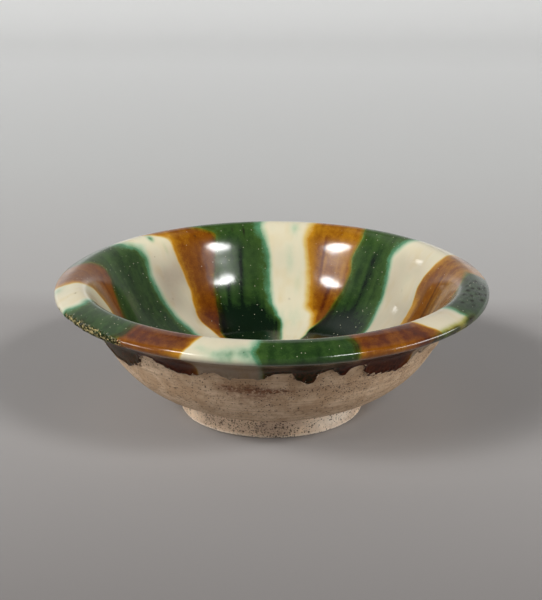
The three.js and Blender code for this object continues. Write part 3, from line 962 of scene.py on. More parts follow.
# Noise over a finish: scale per metre, detail and roughness
GLAZE_CLOUD = (420, 4, 0.62)
GLAZE_GRAIN = (1900, 2, 0.5)
RUN_RAGS = (380, 6, 0.72)
RUN_BLOTCHES = (760, 4, 0.7)
SCUFFS = (3600, 2, 0.5)
PEEL = (700, 3, 0.55)
CLAY_CLOUD = (95, 5, 0.6)
CLAY_PATCHES = (330, 4, 0.65)
CLAY_GRAIN = (2600, 3, 0.7)
CLAY_CROWDS = (120, 2, 0.5)
RUST_GRAIN = (700, 4, 0.7)
# The same for lines and streaks left by the wheel, in a place that is squeezed upwards
TURNING_LINES = (1.0, 3, 0.6)
TURNING_STREAKS = (1.6, 3, 0.6)
SQUEEZED = (14.0, 1500.0)
# Cells per metre and size of the spots, as a share of a cell
PINHOLE_SPOTS = (620, 0.15)
GLAZE_SPECKS = (520, 0.16)
LARGE_SPECKS = (1050, 0.42)
SMALL_SPECKS = (1900, 0.44)
CRUMB_CELLS = (1700, 3600)

# Between which two values each thing comes in
STRONG_COLOUR = (0.3, 0.9)
BARE_CLAY = (0.5, 1.0)
BLOTCHED, BLOTCHED_BY_METAL = (0.40, 0.62), (0.1, 0.6, 0.12, 0.55)
OUTLINED, GONE = (0.9, 0.4), (0.30, 0.12)
PALE_CRUMBS = (0.2, 0.5)
SCUFFED = (0.52, 0.66)
CLOUDED, PATCHED = (0.36, 0.66), (0.40, 0.70)
STREAKED, RUSTED = (0.30, 0.56, 0.45, 1.0), (0.34, 0.56)
CROWDED = (0.34, 0.62, 0.35, 1.4)
# How strongly each thing shows, from 0 to 1
PINHOLE_STRENGTH, SPECK_STRENGTH, OUTLINE_STRENGTH = 0.75, 0.6, 0.8
CLOUD_STRENGTH, PATCH_STRENGTH, GRIME_STRENGTH = 0.62, 0.45, 0.40
RUST_LIMIT, DIRT_STRENGTH, PIT_STRENGTH = 0.92, 0.85, 0.9
# How far the end of a run is broken up, in millimetres
RAG_LENGTH = 9.0
CRUMB_SHARE = 0.55
# The roughness of smooth glaze, what a scuff adds, and that of bare places
GLAZE_SMOOTH, SCUFF_ROUGH, BARE_ROUGH = 0.28, 0.20, 0.75
# The most gloss, and what it loses on bare clay and on dark marks
GLOSS, BARE_DULL, MARK_DULL = 0.85, 0.88, 0.95
# Roughness of clay and what its clouds add
CLAY_ROUGH, CLOUD_ROUGH = 0.72, 0.12
# How many of the specks there are where the clay is clean, and what grime adds
CLEAN_SPECKS, GRIMY_SPECKS = 0.18, 0.9

# Where each colour stands in the ramps of copper and iron, as a share of the top level
TOP_LEVEL = 1.5
COPPER_STOPS = {
    "cream": 0.0, "pale_green": 0.08, "teal": 0.24, "emerald": 0.46, "deep_green": 0.70, "green_black": 1.0,
}
IRON_STOPS = {"cream": 0.0, "straw": 0.12, "honey": 0.26, "amber": 0.50, "brown": 0.75, "dark_brown": 1.0}


@group_of(
    "ShaderNodeTree",
    {"Float": ["Mottling", "Pinholes", "Specks"]},
    {"Color": ["Color"], "Float": ["Roughness", "Gloss", "Height"]},
)
def lead_glaze(nodes, given):
    """Lead glaze: its colour from the copper and iron in it, its pinholes, specks and worn places."""
    shades = bpy.context.scene.glaze_colours
    here = nodes.here()
    bare, dark, worn = [nodes.on_mesh(name) for name in ("bare", "dark", "worn")]
    mottle = nodes.swing(here, *GLAZE_CLOUD) + nodes.swing(here, *GLAZE_GRAIN) * 0.5
    mottle = mottle * given["Mottling"] + 1.0
    copper = nodes.on_mesh("copper") * mottle
    iron = nodes.on_mesh("iron") * mottle
    green, brown = [
        nodes.ramp(metal / TOP_LEVEL, [(place, getattr(shades, name)) for name, place in stops.items()])
        for metal, stops in ((copper, COPPER_STOPS), (iron, IRON_STOPS))
    ]
    shade = nodes.mix(1.0, green, brown, "MULTIPLY")
    shade = nodes.mix(1.0, shade, shades.cream, "DIVIDE")
    over_clay = [clay / slip for clay, slip in zip(shades.clay_under, shades.cream)]
    shade = nodes.mix(1.0, shade, nodes.mix(bare, (1, 1, 1), over_clay), "MULTIPLY")
    strong = nodes.remap(copper + iron, *STRONG_COLOUR)
    pinhole = nodes.spots(here, *PINHOLE_SPOTS, given["Pinholes"]) * strong
    shade = nodes.mix(pinhole * PINHOLE_STRENGTH, shade, shades.pinhole)
    speck = nodes.spots(here, *GLAZE_SPECKS, given["Specks"]) * SPECK_STRENGTH
    # The dark marks also hold the line under the lip, which is partly painted shade
    shade = nodes.mix(nodes.greatest(speck, dark), shade, shades.speck)
    # The end of a run is thin, blotched and broken into islands, with a dark line round it
    from_end = nodes.swing(here, *RUN_RAGS) * RAG_LENGTH + nodes.on_mesh("ending")
    blotch = nodes.remap(nodes.noise(here, *RUN_BLOTCHES), *BLOTCHED) * nodes.remap(bare, *BARE_CLAY)
    blotch = blotch * nodes.remap(copper + iron, *BLOTCHED_BY_METAL)
    shade = nodes.mix(blotch, shade, shades.blotch)
    shade = nodes.mix(nodes.remap(from_end, *OUTLINED) * OUTLINE_STRENGTH, shade, shades.outline)
    gone = nodes.remap(from_end, *GONE)
    shade = nodes.mix(gone, shade, bpy.context.scene.clay_colours.slip)
    # A flaked place shows crumbs of slip and dirt
    coarse, fine = [nodes.cells(here, scale)[1] for scale in CRUMB_CELLS]
    crumbs = nodes.calc("GREATER_THAN", coarse, CRUMB_SHARE) * nodes.remap(fine, *PALE_CRUMBS)
    shade = nodes.mix(worn, shade, nodes.mix(crumbs, shades.dirt, shades.crumb))
    worn = nodes.greatest(worn, gone)
    scuffed = nodes.remap(nodes.noise(here, *SCUFFS), *SCUFFED)
    dull = nodes.greatest(nodes.remap(bare, *BARE_CLAY) * BARE_DULL, worn, pinhole, dark * MARK_DULL)
    return {
        "Color": shade,
        "Roughness": nodes.greatest(scuffed * SCUFF_ROUGH + GLAZE_SMOOTH, worn * BARE_ROUGH),
        "Gloss": (1.0 - dull) * GLOSS,
        "Height": nodes.noise(here, *PEEL) * 0.5 - (pinhole + crumbs * worn),
    }


@group_of(
    "ShaderNodeTree",
    {"Color": ["Clay", "Cloud", "Dark", "Rust"], "Float": ["Grain", "Specks", "Lines"]},
    {"Color": ["Color"], "Float": ["Roughness", "Height"]},
)
def fired_clay(nodes, given):
    """Fired clay or slip: cloudy colour, grains, iron specks, dirt in its pits, stains and turning lines."""
    here = nodes.here()
    grime = nodes.on_mesh("grime")
    cloud = nodes.remap(nodes.noise(here, *CLAY_CLOUD), *CLOUDED)
    patch = nodes.remap(nodes.noise(here, *CLAY_PATCHES), *PATCHED)
    shade = nodes.mix(cloud * CLOUD_STRENGTH, given["Clay"], given["Cloud"])
    shade = nodes.mix(patch * PATCH_STRENGTH, shade, given["Cloud"])
    x, y, z = nodes.split(here)
    level, upright = SQUEEZED
    squeezed = nodes.join(x * level, y * level, z * upright)
    grain = nodes.swing(here, *CLAY_GRAIN)
    lines = nodes.swing(squeezed, *TURNING_LINES) * given["Lines"]
    shade = nodes.mix(1.0, shade, grain * given["Grain"] + 1.0 + lines, "MULTIPLY")
    streaks = nodes.remap(nodes.noise(squeezed, *TURNING_STREAKS), *STREAKED)
    rusty = nodes.on_mesh("stain") * nodes.remap(nodes.noise(here, *RUST_GRAIN), *RUSTED) * streaks
    shade = nodes.mix(nodes.calc("MINIMUM", rusty, RUST_LIMIT), shade, given["Rust"])
    shade = nodes.mix(grime * GRIME_STRENGTH, shade, given["Cloud"])
    # Painted light: the foot is made paler along its bottom edge and on its lit sides
    shade = nodes.mix(nodes.on_mesh("painted_lit"), shade, bpy.context.scene.clay_colours.foot_pale)
    crowd = nodes.remap(nodes.noise(here, *CLAY_CROWDS), *CROWDED)
    share = given["Specks"] * crowd * (grime * GRIMY_SPECKS + CLEAN_SPECKS)
    specks = nodes.greatest(nodes.spots(here, *LARGE_SPECKS, share), nodes.spots(here, *SMALL_SPECKS, share))
    shade = nodes.mix(specks * DIRT_STRENGTH, shade, given["Dark"])
    return {
        "Color": nodes.mix(nodes.on_mesh("pit") * PIT_STRENGTH, shade, given["Dark"]),
        "Roughness": cloud * CLOUD_ROUGH + CLAY_ROUGH,
        "Height": grain + lines * 0.6 - specks * 0.8,
    }


GLAZE_IOR = 1.54
GLAZE_ROUGHNESS = 0.115
GLAZE_BUMP = 0.04 * MM
SKIN_LEVEL = 0.06
CLAY_IOR = 1.45
# Mottling, pinholes and specks of each glaze
GLAZE_LOOKS = {
    "cream": (0.5, 0.04, 0.03),
    "amber": (0.65, 0.08, 0.04),
    "green": (0.65, 0.42, 0.03),
    "pool": (0.5, 0.30, 0.03),
}
# The names of each clay's colour and of its clouds' colour, its grain, specks and lines, and its bump
CLAY_LOOKS = {
    "body_clay": ("body", "slip_dark", 0.5, 0.05, 0.25, 0.08 * MM),
    "foot_clay": ("foot", "foot_cloud", 0.7, 0.72, 0.15, 0.12 * MM),
    "luting_slip": ("luting", "foot_dark", 0.6, 0.05, 0.1, 0.10 * MM),
    "slip_coat": ("slip", "slip_dark", 0.5, 0.46, 0.7, 0.10 * MM),
}


def new_material(name):
    """A new material, its nodes, and the inputs of its shader."""
    material = bpy.data.materials.new(name)
    material.use_nodes = True
    return material, Nodes(material.node_tree), material.node_tree.nodes["Principled BSDF"].inputs


def finish_material(slot, group, values, bump):
    """The material for one of the record's slots, from a shared effect with its own values."""
    name = slot.replace("_", " ")
    if name in bpy.data.materials:
        return bpy.data.materials[name]
    material, nodes, shader = new_material(name)
    shade = nodes.add("ShaderNodeGroup", None, "Color", node_tree=group)
    nodes.feed(shade.socket.node.inputs, values)
    height = shade.beside("Height")
    relief = nodes.add("ShaderNodeBump", {"Strength": 1.0, "Distance": bump, "Height": height})
    nodes.feed(shader, {"Base Color": shade, "Roughness": shade.beside("Roughness"), "Normal": relief})
    nodes.feed(shader, {"IOR": CLAY_IOR})
    if "Gloss" in shade.socket.node.outputs:
        nodes.feed(shader, {"Specular IOR Level": SKIN_LEVEL, "Coat Weight": shade.beside("Gloss")})
        nodes.feed(shader, {"Coat IOR": GLAZE_IOR, "Coat Roughness": GLAZE_ROUGHNESS})
    return material


def glaze_material(glaze):
    values = dict(zip(("Mottling", "Pinholes", "Specks"), GLAZE_LOOKS[glaze]))
    return finish_material(f"{glaze}_glaze", lead_glaze(), values, GLAZE_BUMP)


def clay_material(slot):
    """The material of one of the bare clays or slips."""
    clays = bpy.context.scene.clay_colours
    clay, cloud, grain, specks, lines, bump = CLAY_LOOKS[slot]
    colours = {"Clay": clay, "Cloud": cloud, "Dark": "foot_dark", "Rust": "rust"}
    values = {name: (*getattr(clays, shade), 1) for name, shade in colours.items()}
    values.update({"Grain": grain, "Specks": specks, "Lines": lines})
    return finish_material(slot, fired_clay(), values, bump)


# Making pieces

def new_object(name, data):
    """An object in the scene for a mesh, a curve, a lamp or a camera."""
    holder = bpy.data.objects.new(name, data)
    bpy.context.scene.collection.objects.link(holder)
    return holder


def piece_from(name, points, faces, material):
    """A smooth mesh object from points in millimetres."""
    mesh = bpy.data.meshes.new(name)
    mesh.from_pydata((points * MM).tolist(), [], faces)
    if mesh.validate():
        raise RuntimeError(f"{name} has faces that can't be used")
    mesh.shade_smooth()
    mesh.materials.append(material)
    return new_object(name, mesh)


def write_attributes(mesh, values):
    """Stores one number for each vertex under each name."""
    for name, numbers in values.items():
        layer = mesh.attributes.new(name, "FLOAT", "POINT")
        layer.data.foreach_set("value", np.ascontiguousarray(numbers, dtype=np.float32).ravel())


def stand_for(piece, slot, *nodes):
    """The piece moves with the bowl, and the model's parts that it replaces are hidden. The slot is not used.
    """
    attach(piece, BODY)
    if nodes:
        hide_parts(*nodes)


def quads(numbers):
    """The quads between the rows and columns of a grid of vertex numbers."""
    corners = [numbers[:-1, :-1], numbers[1:, :-1], numbers[1:, 1:], numbers[:-1, 1:]]
    return np.stack(corners, axis=-1).reshape(-1, 4)


TURNED_OVER = [0, 3, 2, 1]


def shell_faces(rows, columns):
    """The quads of a closed shell over a grid: its upper side, its lower side and its border."""
    upper = np.arange(rows * columns).reshape(rows, columns)
    under = rows * columns
    border = np.concatenate([upper[:, 0], upper[-1, 1:], upper[-2::-1, -1], upper[0, -2::-1]])
    side = np.roll(quads(np.stack([border, border + under])), 1, axis=1)
    return np.concatenate([quads(upper), quads(upper + under)[:, TURNED_OVER], side]).tolist()


def disc_faces(rings, columns):
    """The faces of a closed disc: rings of quads on both sides, the rim, and a fan round each middle."""
    top = np.arange(rings * columns).reshape(rings, columns)
    top = np.hstack([top, top[:, :1]])
    bottom = top + rings * columns
    rim = quads(np.stack([top[-1], bottom[-1]]))
    faces = np.concatenate([quads(top), quads(bottom)[:, TURNED_OVER], rim]).tolist()
    middle = 2 * rings * columns
    faces += [[middle, int(a), int(b)] for a, b in zip(top[0, :-1], top[0, 1:])]
    faces += [[middle + 1, int(b), int(a)] for a, b in zip(bottom[0, :-1], bottom[0, 1:])]
    return faces


# Spacings and counts of the glaze's grid
INSIDE_ROWS = 0.75
LIP_ROWS = 0.5
EDGE_ROWS = 0.2
LIP_START, EDGE_START, RUN_START = -6, 8, 12
RUN_COUNT = 44
COLUMN_WIDTH = 0.275
POOL_RINGS = 20


def stroke_grid(coat, number):
    """Azimuth and reach at each point of a stroke's grid."""
    inside = np.arange(coat.pool_reach, LIP_START, INSIDE_ROWS)
    lip = np.arange(LIP_START, EDGE_START, LIP_ROWS)
    shared = np.concatenate([inside, lip, np.arange(EDGE_START, RUN_START, EDGE_ROWS)])
    start, end = coat.edge(number, shared), coat.edge(number + 1, shared)
    columns = int(np.max(end - start) / COLUMN_WIDTH) + 2
    azimuth = start[:, None] + (end - start)[:, None] * np.linspace(0, 1, columns)
    # Below the lip the columns hang straight down to the ragged end
    shares = 1 - (1 - np.linspace(0, 1, RUN_COUNT + 1)[1:]) ** 1.5
    run_reach = shared[-1] + (coat.end_reach(azimuth[-1]) - shared[-1]) * shares[:, None]
    azimuth = np.vstack([azimuth, np.repeat(azimuth[-1:], RUN_COUNT, axis=0)])
    return azimuth, np.vstack([np.repeat(shared[:, None], columns, axis=1), run_reach])


def glaze_piece(coat, name, glaze, node, azimuth, reach, numbers, faces, has_middle=False):
    """A closed piece of glaze over a grid of places, with the coat's own normals and values.

    It can also have a point in the middle of its upper and of its lower side.
    """
    sides = [
        coat.place(azimuth, reach, numbers),
        coat.raised(azimuth, reach, coat.meridian.SKIN - coat.DEPTH),
    ]
    upward = coat.normals(azimuth, reach, numbers).reshape(-1, 3)
    values = coat.attributes(azimuth, reach, numbers)
    points = [side.reshape(-1, 3) for side in sides]
    normals = [upward, -upward]
    numbers_at = {key: [value.ravel(), value.ravel()] for key, value in values.items()}
    if has_middle:
        points += [[[0, 0, side[0, :, 2].mean()]] for side in sides]
        normals += [[[0, 0, 1]], [[0, 0, -1]]]
        for key, value in values.items():
            numbers_at[key] += [[value[0].mean()] * 2]
    piece = piece_from(name, np.concatenate(points), faces, glaze_material(glaze))
    write_attributes(piece.data, {key: np.concatenate(numbers) for key, numbers in numbers_at.items()})
    piece.data.normals_split_custom_set_from_vertices(np.concatenate(normals).tolist())
    stand_for(piece, f"{glaze}_glaze", node)


def make_stroke(coat, number):
    """One stroke of glaze as a closed shell, from the pool over the lip to its ragged end."""
    name, glaze = coat.name(number), coat.glaze(number)
    azimuth, reach = stroke_grid(coat, number)
    near = range(number - 2, number + 3)
    faces = shell_faces(*azimuth.shape)
    glaze_piece(coat, f"{glaze}_stroke_{name[-1]}", glaze, f"glaze_{name}", azimuth, reach, near, faces)


def make_pool(coat):
    """The pool of glaze in the well as a closed disc that meets the strokes point by point."""
    around = np.concatenate([stroke_grid(coat, number)[0][0, :-1] for number in range(len(STROKES))])
    reach = np.linspace(coat.meridian.centre, coat.pool_reach, POOL_RINGS + 1)[1:]
    azimuth, reach = np.meshgrid(around, reach)
    every = range(-1, len(STROKES) + 1)
    faces = disc_faces(*azimuth.shape)
    glaze_piece(coat, "pooled_glaze", "pool", "glaze_pool", azimuth, reach, every, faces, True)


ROUGHENING = [
    "Ring Height", "Ring Spacing", "Lump Height", "Lump Size", "Pit Depth", "Pit Spacing", "Pit Share",
]
# These inputs for each turned piece, in metres
ROUGHNESS = {
    "thrown_body": (0.00004, 0.0030, 0.00006, 0.0040, 0.0, 0.0020, 0.0),
    "slip_wash": (0.00014, 0.0011, 0.00026, 0.0045, 0.00035, 0.0016, 0.10),
    "pitted_foot": (0.00016, 0.0014, 0.00055, 0.0030, 0.00045, 0.0014, 0.22),
    "luting_bead": (0.00010, 0.0010, 0.00070, 0.0030, 0.00030, 0.0013, 0.30),
}
# The rings' noise: scale, detail and roughness, and its scale round the bowl
RINGS, RINGS_AROUND = (1.0, 1, 0.5), 12.0
# The lumps' noise: detail and roughness
LUMPS = (4, 0.6)
PIT_SIZE = 0.36
MERGING = 0.002 * MM
# The three sizes of a grain of grit, as shares of its longest
GRAIN_SHAPE = (1.0, 0.8, 0.55)


@group_of(
    "GeometryNodeTree",
    {"Geometry": ["Line"], "Int": ["Rows", "Columns"], "Float": ROUGHENING, "Material": ["Finish"]},
    {"Geometry": ["Clay"]},
)
def turned_clay(nodes, given):
    """A wheel: turns the points of a line of radius and height about Z, then roughens the clay."""
    here = nodes.add("GeometryNodeInputPosition")
    x, y, z = nodes.split(here)
    clay = nodes.add(
        "GeometryNodeMeshGrid",
        {"Size X": 1.0, "Size Y": 1.0, "Vertices X": given["Columns"], "Vertices Y": given["Rows"]},
    )
    row = nodes.calc("ROUND", (y + 0.5) * (given["Rows"] - 1.0))
    on_line = nodes.add(
        "GeometryNodeSampleIndex",
        {"Geometry": given["Line"], "Value": here, "Index": row},
        data_type="FLOAT_VECTOR",
        domain="POINT",
    )
    radius, _, height = nodes.split(on_line)
    angle = (x + 0.5) * (2 * math.pi)
    sine, cosine = nodes.calc("SINE", angle), nodes.calc("COSINE", angle)
    turned = nodes.join(radius * sine, radius * cosine * -1.0, height)
    clay = nodes.add("GeometryNodeSetPosition", {"Geometry": clay, "Position": turned})
    clay = nodes.add("GeometryNodeMergeByDistance", {"Geometry": clay, "Distance": MERGING})
    # The rings follow the wall down and outwards
    out = nodes.add("ShaderNodeVectorMath", {0: here}, "Value", operation="LENGTH")
    down = (z + out * 0.5) / given["Ring Spacing"]
    rings = nodes.swing(nodes.join(x * RINGS_AROUND, y * RINGS_AROUND, down), *RINGS)
    lumps = nodes.swing(here, 1.0 / given["Lump Size"], *LUMPS)
    pits = nodes.spots(here, 1.0 / given["Pit Spacing"], PIT_SIZE, given["Pit Share"])
    relief = lumps * given["Lump Height"] + rings * given["Ring Height"] - pits * given["Pit Depth"]
    normal = nodes.add("GeometryNodeInputNormal")
    offset = nodes.add("ShaderNodeVectorMath", {0: normal, "Scale": relief}, operation="SCALE")
    clay = nodes.add(
        "GeometryNodeStoreNamedAttribute",
        {"Geometry": clay, "Name": "pit", "Value": pits},
        data_type="FLOAT",
        domain="POINT",
    )
    clay = nodes.add("GeometryNodeSetPosition", {"Geometry": clay, "Offset": offset})
    clay = nodes.add("GeometryNodeSetShadeSmooth", {0: clay})
    return {"Clay": nodes.finished(clay, given["Finish"])}


@group_of(
    "GeometryNodeTree",
    {
        "Geometry": ["Surface"],
        "Float": ["Density", "Smallest", "Largest"],
        "Int": ["Seed"],
        "Material": ["Finish"],
    },
    {"Geometry": ["Grit"]},
)
def grit(nodes, given):
    """Grains of grit, half sunk in a surface."""
    points = nodes.add(
        "GeometryNodeDistributePointsOnFaces",
        {"Mesh": given["Surface"], "Density": given["Density"], "Seed": given["Seed"]},
    )
    sizes = {2: given["Smallest"], 3: given["Largest"], "Seed": given["Seed"]}
    size = nodes.add("FunctionNodeRandomValue", sizes, 1, data_type="FLOAT")
    grains = nodes.add(
        "GeometryNodeInstanceOnPoints",
        {
            "Points": points,
            "Instance": nodes.add("GeometryNodeMeshIcoSphere", {"Radius": 1.0, "Subdivisions": 2}),
            "Rotation": points.beside("Rotation"),
            "Scale": nodes.join(*[size * share for share in GRAIN_SHAPE]),
        },
    )
    return {"Grit": nodes.finished(grains, given["Finish"])}


def run_tree(name, data, tree, values):
    """Runs a node tree on a mesh or a curve, and gives an object with the plain mesh that comes out."""
    holder = new_object(f"{name}_ground", data)
    modifier = holder.modifiers.new(tree.name, "NODES")
    modifier.node_group = tree
    for item in tree.interface.items_tree:
        if item.in_out == "INPUT" and item.name in values:
            modifier[item.identifier] = values[item.name]
    graph = bpy.context.evaluated_depsgraph_get()
    mesh = bpy.data.meshes.new_from_object(holder.evaluated_get(graph), depsgraph=graph)
    bpy.data.objects.remove(holder)
    bpy.data.batch_remove([data])
    mesh.name = name
    return new_object(name, mesh)


def turned_piece(name, line, columns, slot):
    """A piece turned from a line of radius and height in millimetres."""
    curve = bpy.data.curves.new(f"{name}_line", "CURVE")
    curve.dimensions = "3D"
    spline = curve.splines.new("POLY")
    spline.points.add(len(line) - 1)
    radius, height = line.T * MM
    spline.points.foreach_set("co", np.stack([radius, 0 * radius, height, 1 + 0 * radius], axis=1).ravel())
    values = {"Rows": len(line), "Columns": columns + 1, "Finish": clay_material(slot)}
    values.update(zip(ROUGHENING, ROUGHNESS[name]))
    piece = run_tree(name, curve, turned_clay(), values)
    if signed_volume(piece.data) < 0:
        raise RuntimeError(f"{name} is inside out")
    return piece


def mesh_points(mesh):
    points = np.empty(len(mesh.vertices) * 3)
    mesh.vertices.foreach_get("co", points)
    return points.reshape(-1, 3)


def signed_volume(mesh):
    """The volume inside a mesh, negative if its faces point inwards."""
    mesh.calc_loop_triangles()
    corners = np.empty(len(mesh.loop_triangles) * 3, dtype=np.int32)
    mesh.loop_triangles.foreach_get("vertices", corners)
    a, b, c = mesh_points(mesh)[corners.reshape(-1, 3)].transpose(1, 0, 2)
    return float(np.einsum("ij,ij->i", a, np.cross(b, c)).sum() / 6)


def mesh_places(mesh):
    """Azimuth, radius and height of each vertex, in degrees and millimetres."""
    x, y, z = mesh_points(mesh).T / MM
    return np.degrees(np.arctan2(x, -y)) % 360, np.hypot(x, y), z


def rest_flat(mesh):
    """Lifts what the roughening pushed below the table."""
    points = mesh_points(mesh)
    points[:, 2] = np.maximum(points[:, 2], 0.0)
    mesh.vertices.foreach_set("co", points.ravel())
    mesh.update()


def spread(corners, spacing):
    """A line through corner points, with points added so that none is further apart than the spacing."""
    line = [corners[0]]
    for start, end in zip(corners[:-1], corners[1:]):
        count = max(1, math.ceil(np.hypot(*(end - start)) / spacing))
        line += [start + (end - start) * share for share in np.linspace(0, 1, count + 1)[1:]]
    return np.array(line)


class BowlOperator:
    """What the bowl's operators share."""

    bl_options = {"REGISTER", "UNDO"}


class ThrowBody(BowlOperator, Operator):
    """Throw the body: the wall, the floor and the everted lip in one piece of clay"""

    bl_idname = "sancai.throw_body"
    bl_label = "Throw the body"

    COLUMNS = 160
    INSIDE_ROWS = 0.6
    OUTSIDE_ROWS = 1.2
    # The bare foot of the wall, under the slip
    BARE_WIDTH = 1.4

    def execute(self, context):
        sizes = sizes_in_mm(context)
        meridian = Meridian(sizes)
        upper = meridian.line(np.arange(meridian.centre, meridian.neck, self.INSIDE_ROWS))
        outer = np.arange(meridian.neck + 0.6, meridian.seat - self.BARE_WIDTH - 0.2, self.OUTSIDE_ROWS)
        rebate = meridian.line(outer, -sizes.slip)
        seat = meridian.line(np.array([meridian.seat - self.BARE_WIDTH, meridian.seat]))
        base = spread([seat[-1], point(0, seat[-1, 1])], 1.5)[1:]
        line = np.vstack([upper, rebate, seat, base])[::-1]
        piece = turned_piece("thrown_body", line, self.COLUMNS, "body_clay")
        stand_for(piece, "body_clay", "bowl_body")
        return {"FINISHED"}


class BrushSlip(BowlOperator, Operator):
    """Brush the slip wash over the outside of the wall"""

    bl_idname = "sancai.brush_slip"
    bl_label = "Brush the slip"

    COLUMNS = 820
    ROWS = 0.55
    # The slip starts under the glaze and stops short of the seat, where it thins out
    TOP_OVERLAP = 4
    BARE_WIDTH = 1.5
    THINNING = 12
    # A ledge left by the wheel: drop below the neck, width and height
    LEDGE_DROP, LEDGE_WIDTH, LEDGE_HEIGHT = 6.6, 0.5, 0.40
    HIDDEN_GAP = 0.05
    EVEN_GRIME = 0.16

    def execute(self, context):
        sizes = sizes_in_mm(context)
        meridian = Meridian(sizes)
        top = meridian.neck - self.TOP_OVERLAP
        stop = meridian.seat - self.BARE_WIDTH
        reach = np.arange(top, stop, self.ROWS)
        ledge = self.LEDGE_HEIGHT * hump(reach - meridian.neck, self.LEDGE_DROP, self.LEDGE_WIDTH)
        swell = (meridian.SKIN + ledge) * between(stop, stop - self.THINNING, reach)
        outside = meridian.line(reach, swell)
        back = meridian.line(np.linspace(stop - 0.2, top + 0.2, 12), swell[-1] - sizes.slip + self.HIDDEN_GAP)
        line = np.vstack([outside, back, outside[:1]])[::-1]
        piece = turned_piece("slip_wash", line, self.COLUMNS, "slip_coat")
        azimuth, radius, height = mesh_places(piece.data)
        drop = meridian.outside_reach(height) - meridian.neck
        stain = marks(RUST_STAINS, azimuth, drop, radius)
        clumps = 1 + layered([(0.5, 92, 60, 3)], azimuth, drop)
        grime = self.EVEN_GRIME + marks(SLIP_GRIME, azimuth, drop, radius) * clumps
        write_attributes(piece.data, {"stain": np.clip(stain, 0, 1.4), "grime": np.clip(grime, 0, 1)})
        stand_for(piece, "slip_coat", "slip_coat")
        return {"FINISHED"}


class TurnFoot(BowlOperator, Operator):
    """Turn the coarse clay foot, with its pits and its grit"""

    bl_idname = "sancai.turn_foot"
    bl_label = "Turn the foot"

    COLUMNS = 900
    BEVEL = 0.8
    TAPER = 0.6
    SHOULDER = 0.5
    RESTING_WIDTH = 8
    RECESS = 2.6
    GRIT = {"Density": 90000.0, "Smallest": 0.08 * MM, "Largest": 0.26 * MM, "Seed": 7}

    def execute(self, context):
        line = self.outline(sizes_in_mm(context))
        piece = turned_piece("pitted_foot", line, self.COLUMNS, "foot_clay")
        rest_flat(piece.data)
        azimuth, radius, height = mesh_places(piece.data)
        grime = marks(FOOT_GRIME, azimuth, height, radius)
        # A painted highlight along the foot's bottom edge, and painted light on its lit sides
        painted_lit = 0.7 * between(1.5, 0.5, height) + marks(FOOT_PAINTED_LIGHT, azimuth, height, radius)
        write_attributes(piece.data, {"grime": np.clip(grime, 0, 1), "painted_lit": np.clip(painted_lit, 0, 0.9)})
        stand_for(piece, "foot_clay", "foot_disc")
        values = {**self.GRIT, "Finish": clay_material("foot_clay")}
        grains = run_tree("foot_grit", piece.data.copy(), grit(), values)
        rest_flat(grains.data)
        stand_for(grains, "foot_clay")
        return {"FINISHED"}

    def outline(self, sizes):
        """Half of the foot's section, from the middle of its recess round to the middle of its top."""
        radius = sizes.foot_diameter / 2
        top = sizes.foot_height
        low = radius - self.TAPER
        rest_inside = low - self.BEVEL - self.RESTING_WIDTH
        side = [
            point(low - self.BEVEL, 0),
            point(low - 0.25, 0.25),
            point(low, self.BEVEL),
            point(radius - 0.35, top * 0.45),
            point(radius, top - self.SHOULDER - 0.4),
            point(radius - 0.15, top - self.SHOULDER + 0.2),
            point(radius - self.SHOULDER, top),
        ]
        under = [
            point(0, self.RECESS),
            point(rest_inside - 0.8, self.RECESS),
            point(rest_inside, 0.2),
            point(rest_inside + 0.4, 0),
        ]
        rest = spread([under[-1], side[0]], 0.8)[1:-1]
        cap = spread([side[-1], point(0, top)], 2.0)[1:]
        return np.vstack([spread(under, 1.2), rest, spread(side, 0.24), cap])


class LuteJoint(BowlOperator, Operator):
    """Squeeze the luting slip out between the foot and the wall"""

    bl_idname = "sancai.lute_joint"
    bl_label = "Lute the joint"

    COLUMNS = 480

    def execute(self, context):
        sizes = sizes_in_mm(context)
        low = sizes.foot_height
        high = sizes.base_height
        radius = LUTING_BOX[1].x / MM
        bulge = [
            point(radius - 0.2, low),
            point(radius + 0.25, low + 0.2),
            point(radius + 0.45, (low + high) / 2),
            point(radius + 0.6, high - 0.1),
            point(radius + 0.4, high + 0.1),
        ]
        under = spread([point(0, low), bulge[0]], 3.0)
        over = spread([bulge[-1], point(0, high + 0.1)], 3.0)
        line = np.vstack([under, spread(bulge, 0.3)[1:], over[1:]])
        piece = turned_piece("luting_bead", line, self.COLUMNS, "luting_slip")
        stand_for(piece, "luting_slip", "luting_slip")
        return {"FINISHED"}


class PourPool(BowlOperator, Operator):
    """Let the glazes pool in the middle of the well"""

    bl_idname = "sancai.pour_pool"
    bl_label = "Pool the glaze"

    def execute(self, context):
        sizes = sizes_in_mm(context)
        make_pool(Coat(Meridian(sizes), sizes))
        return {"FINISHED"}


class BrushGlaze(BowlOperator, Operator):
    """Brush the strokes of one of the three glazes"""

    bl_idname = "sancai.brush_glaze"
    bl_label = "Brush a glaze"

    glaze: EnumProperty(
        name="Glaze",
        description="Which of the three glazes to brush on",
        items=[
            ("cream", "Cream", "Clear glaze over white slip"),
            ("amber", "Amber", "Glaze with iron"),
            ("green", "Green", "Glaze with copper"),
        ],
    )

    def execute(self, context):
        sizes = sizes_in_mm(context)
        coat = Coat(Meridian(sizes), sizes)
        for number in range(len(STROKES)):
            if coat.glaze(number) == self.glaze:
                make_stroke(coat, number)
        return {"FINISHED"}


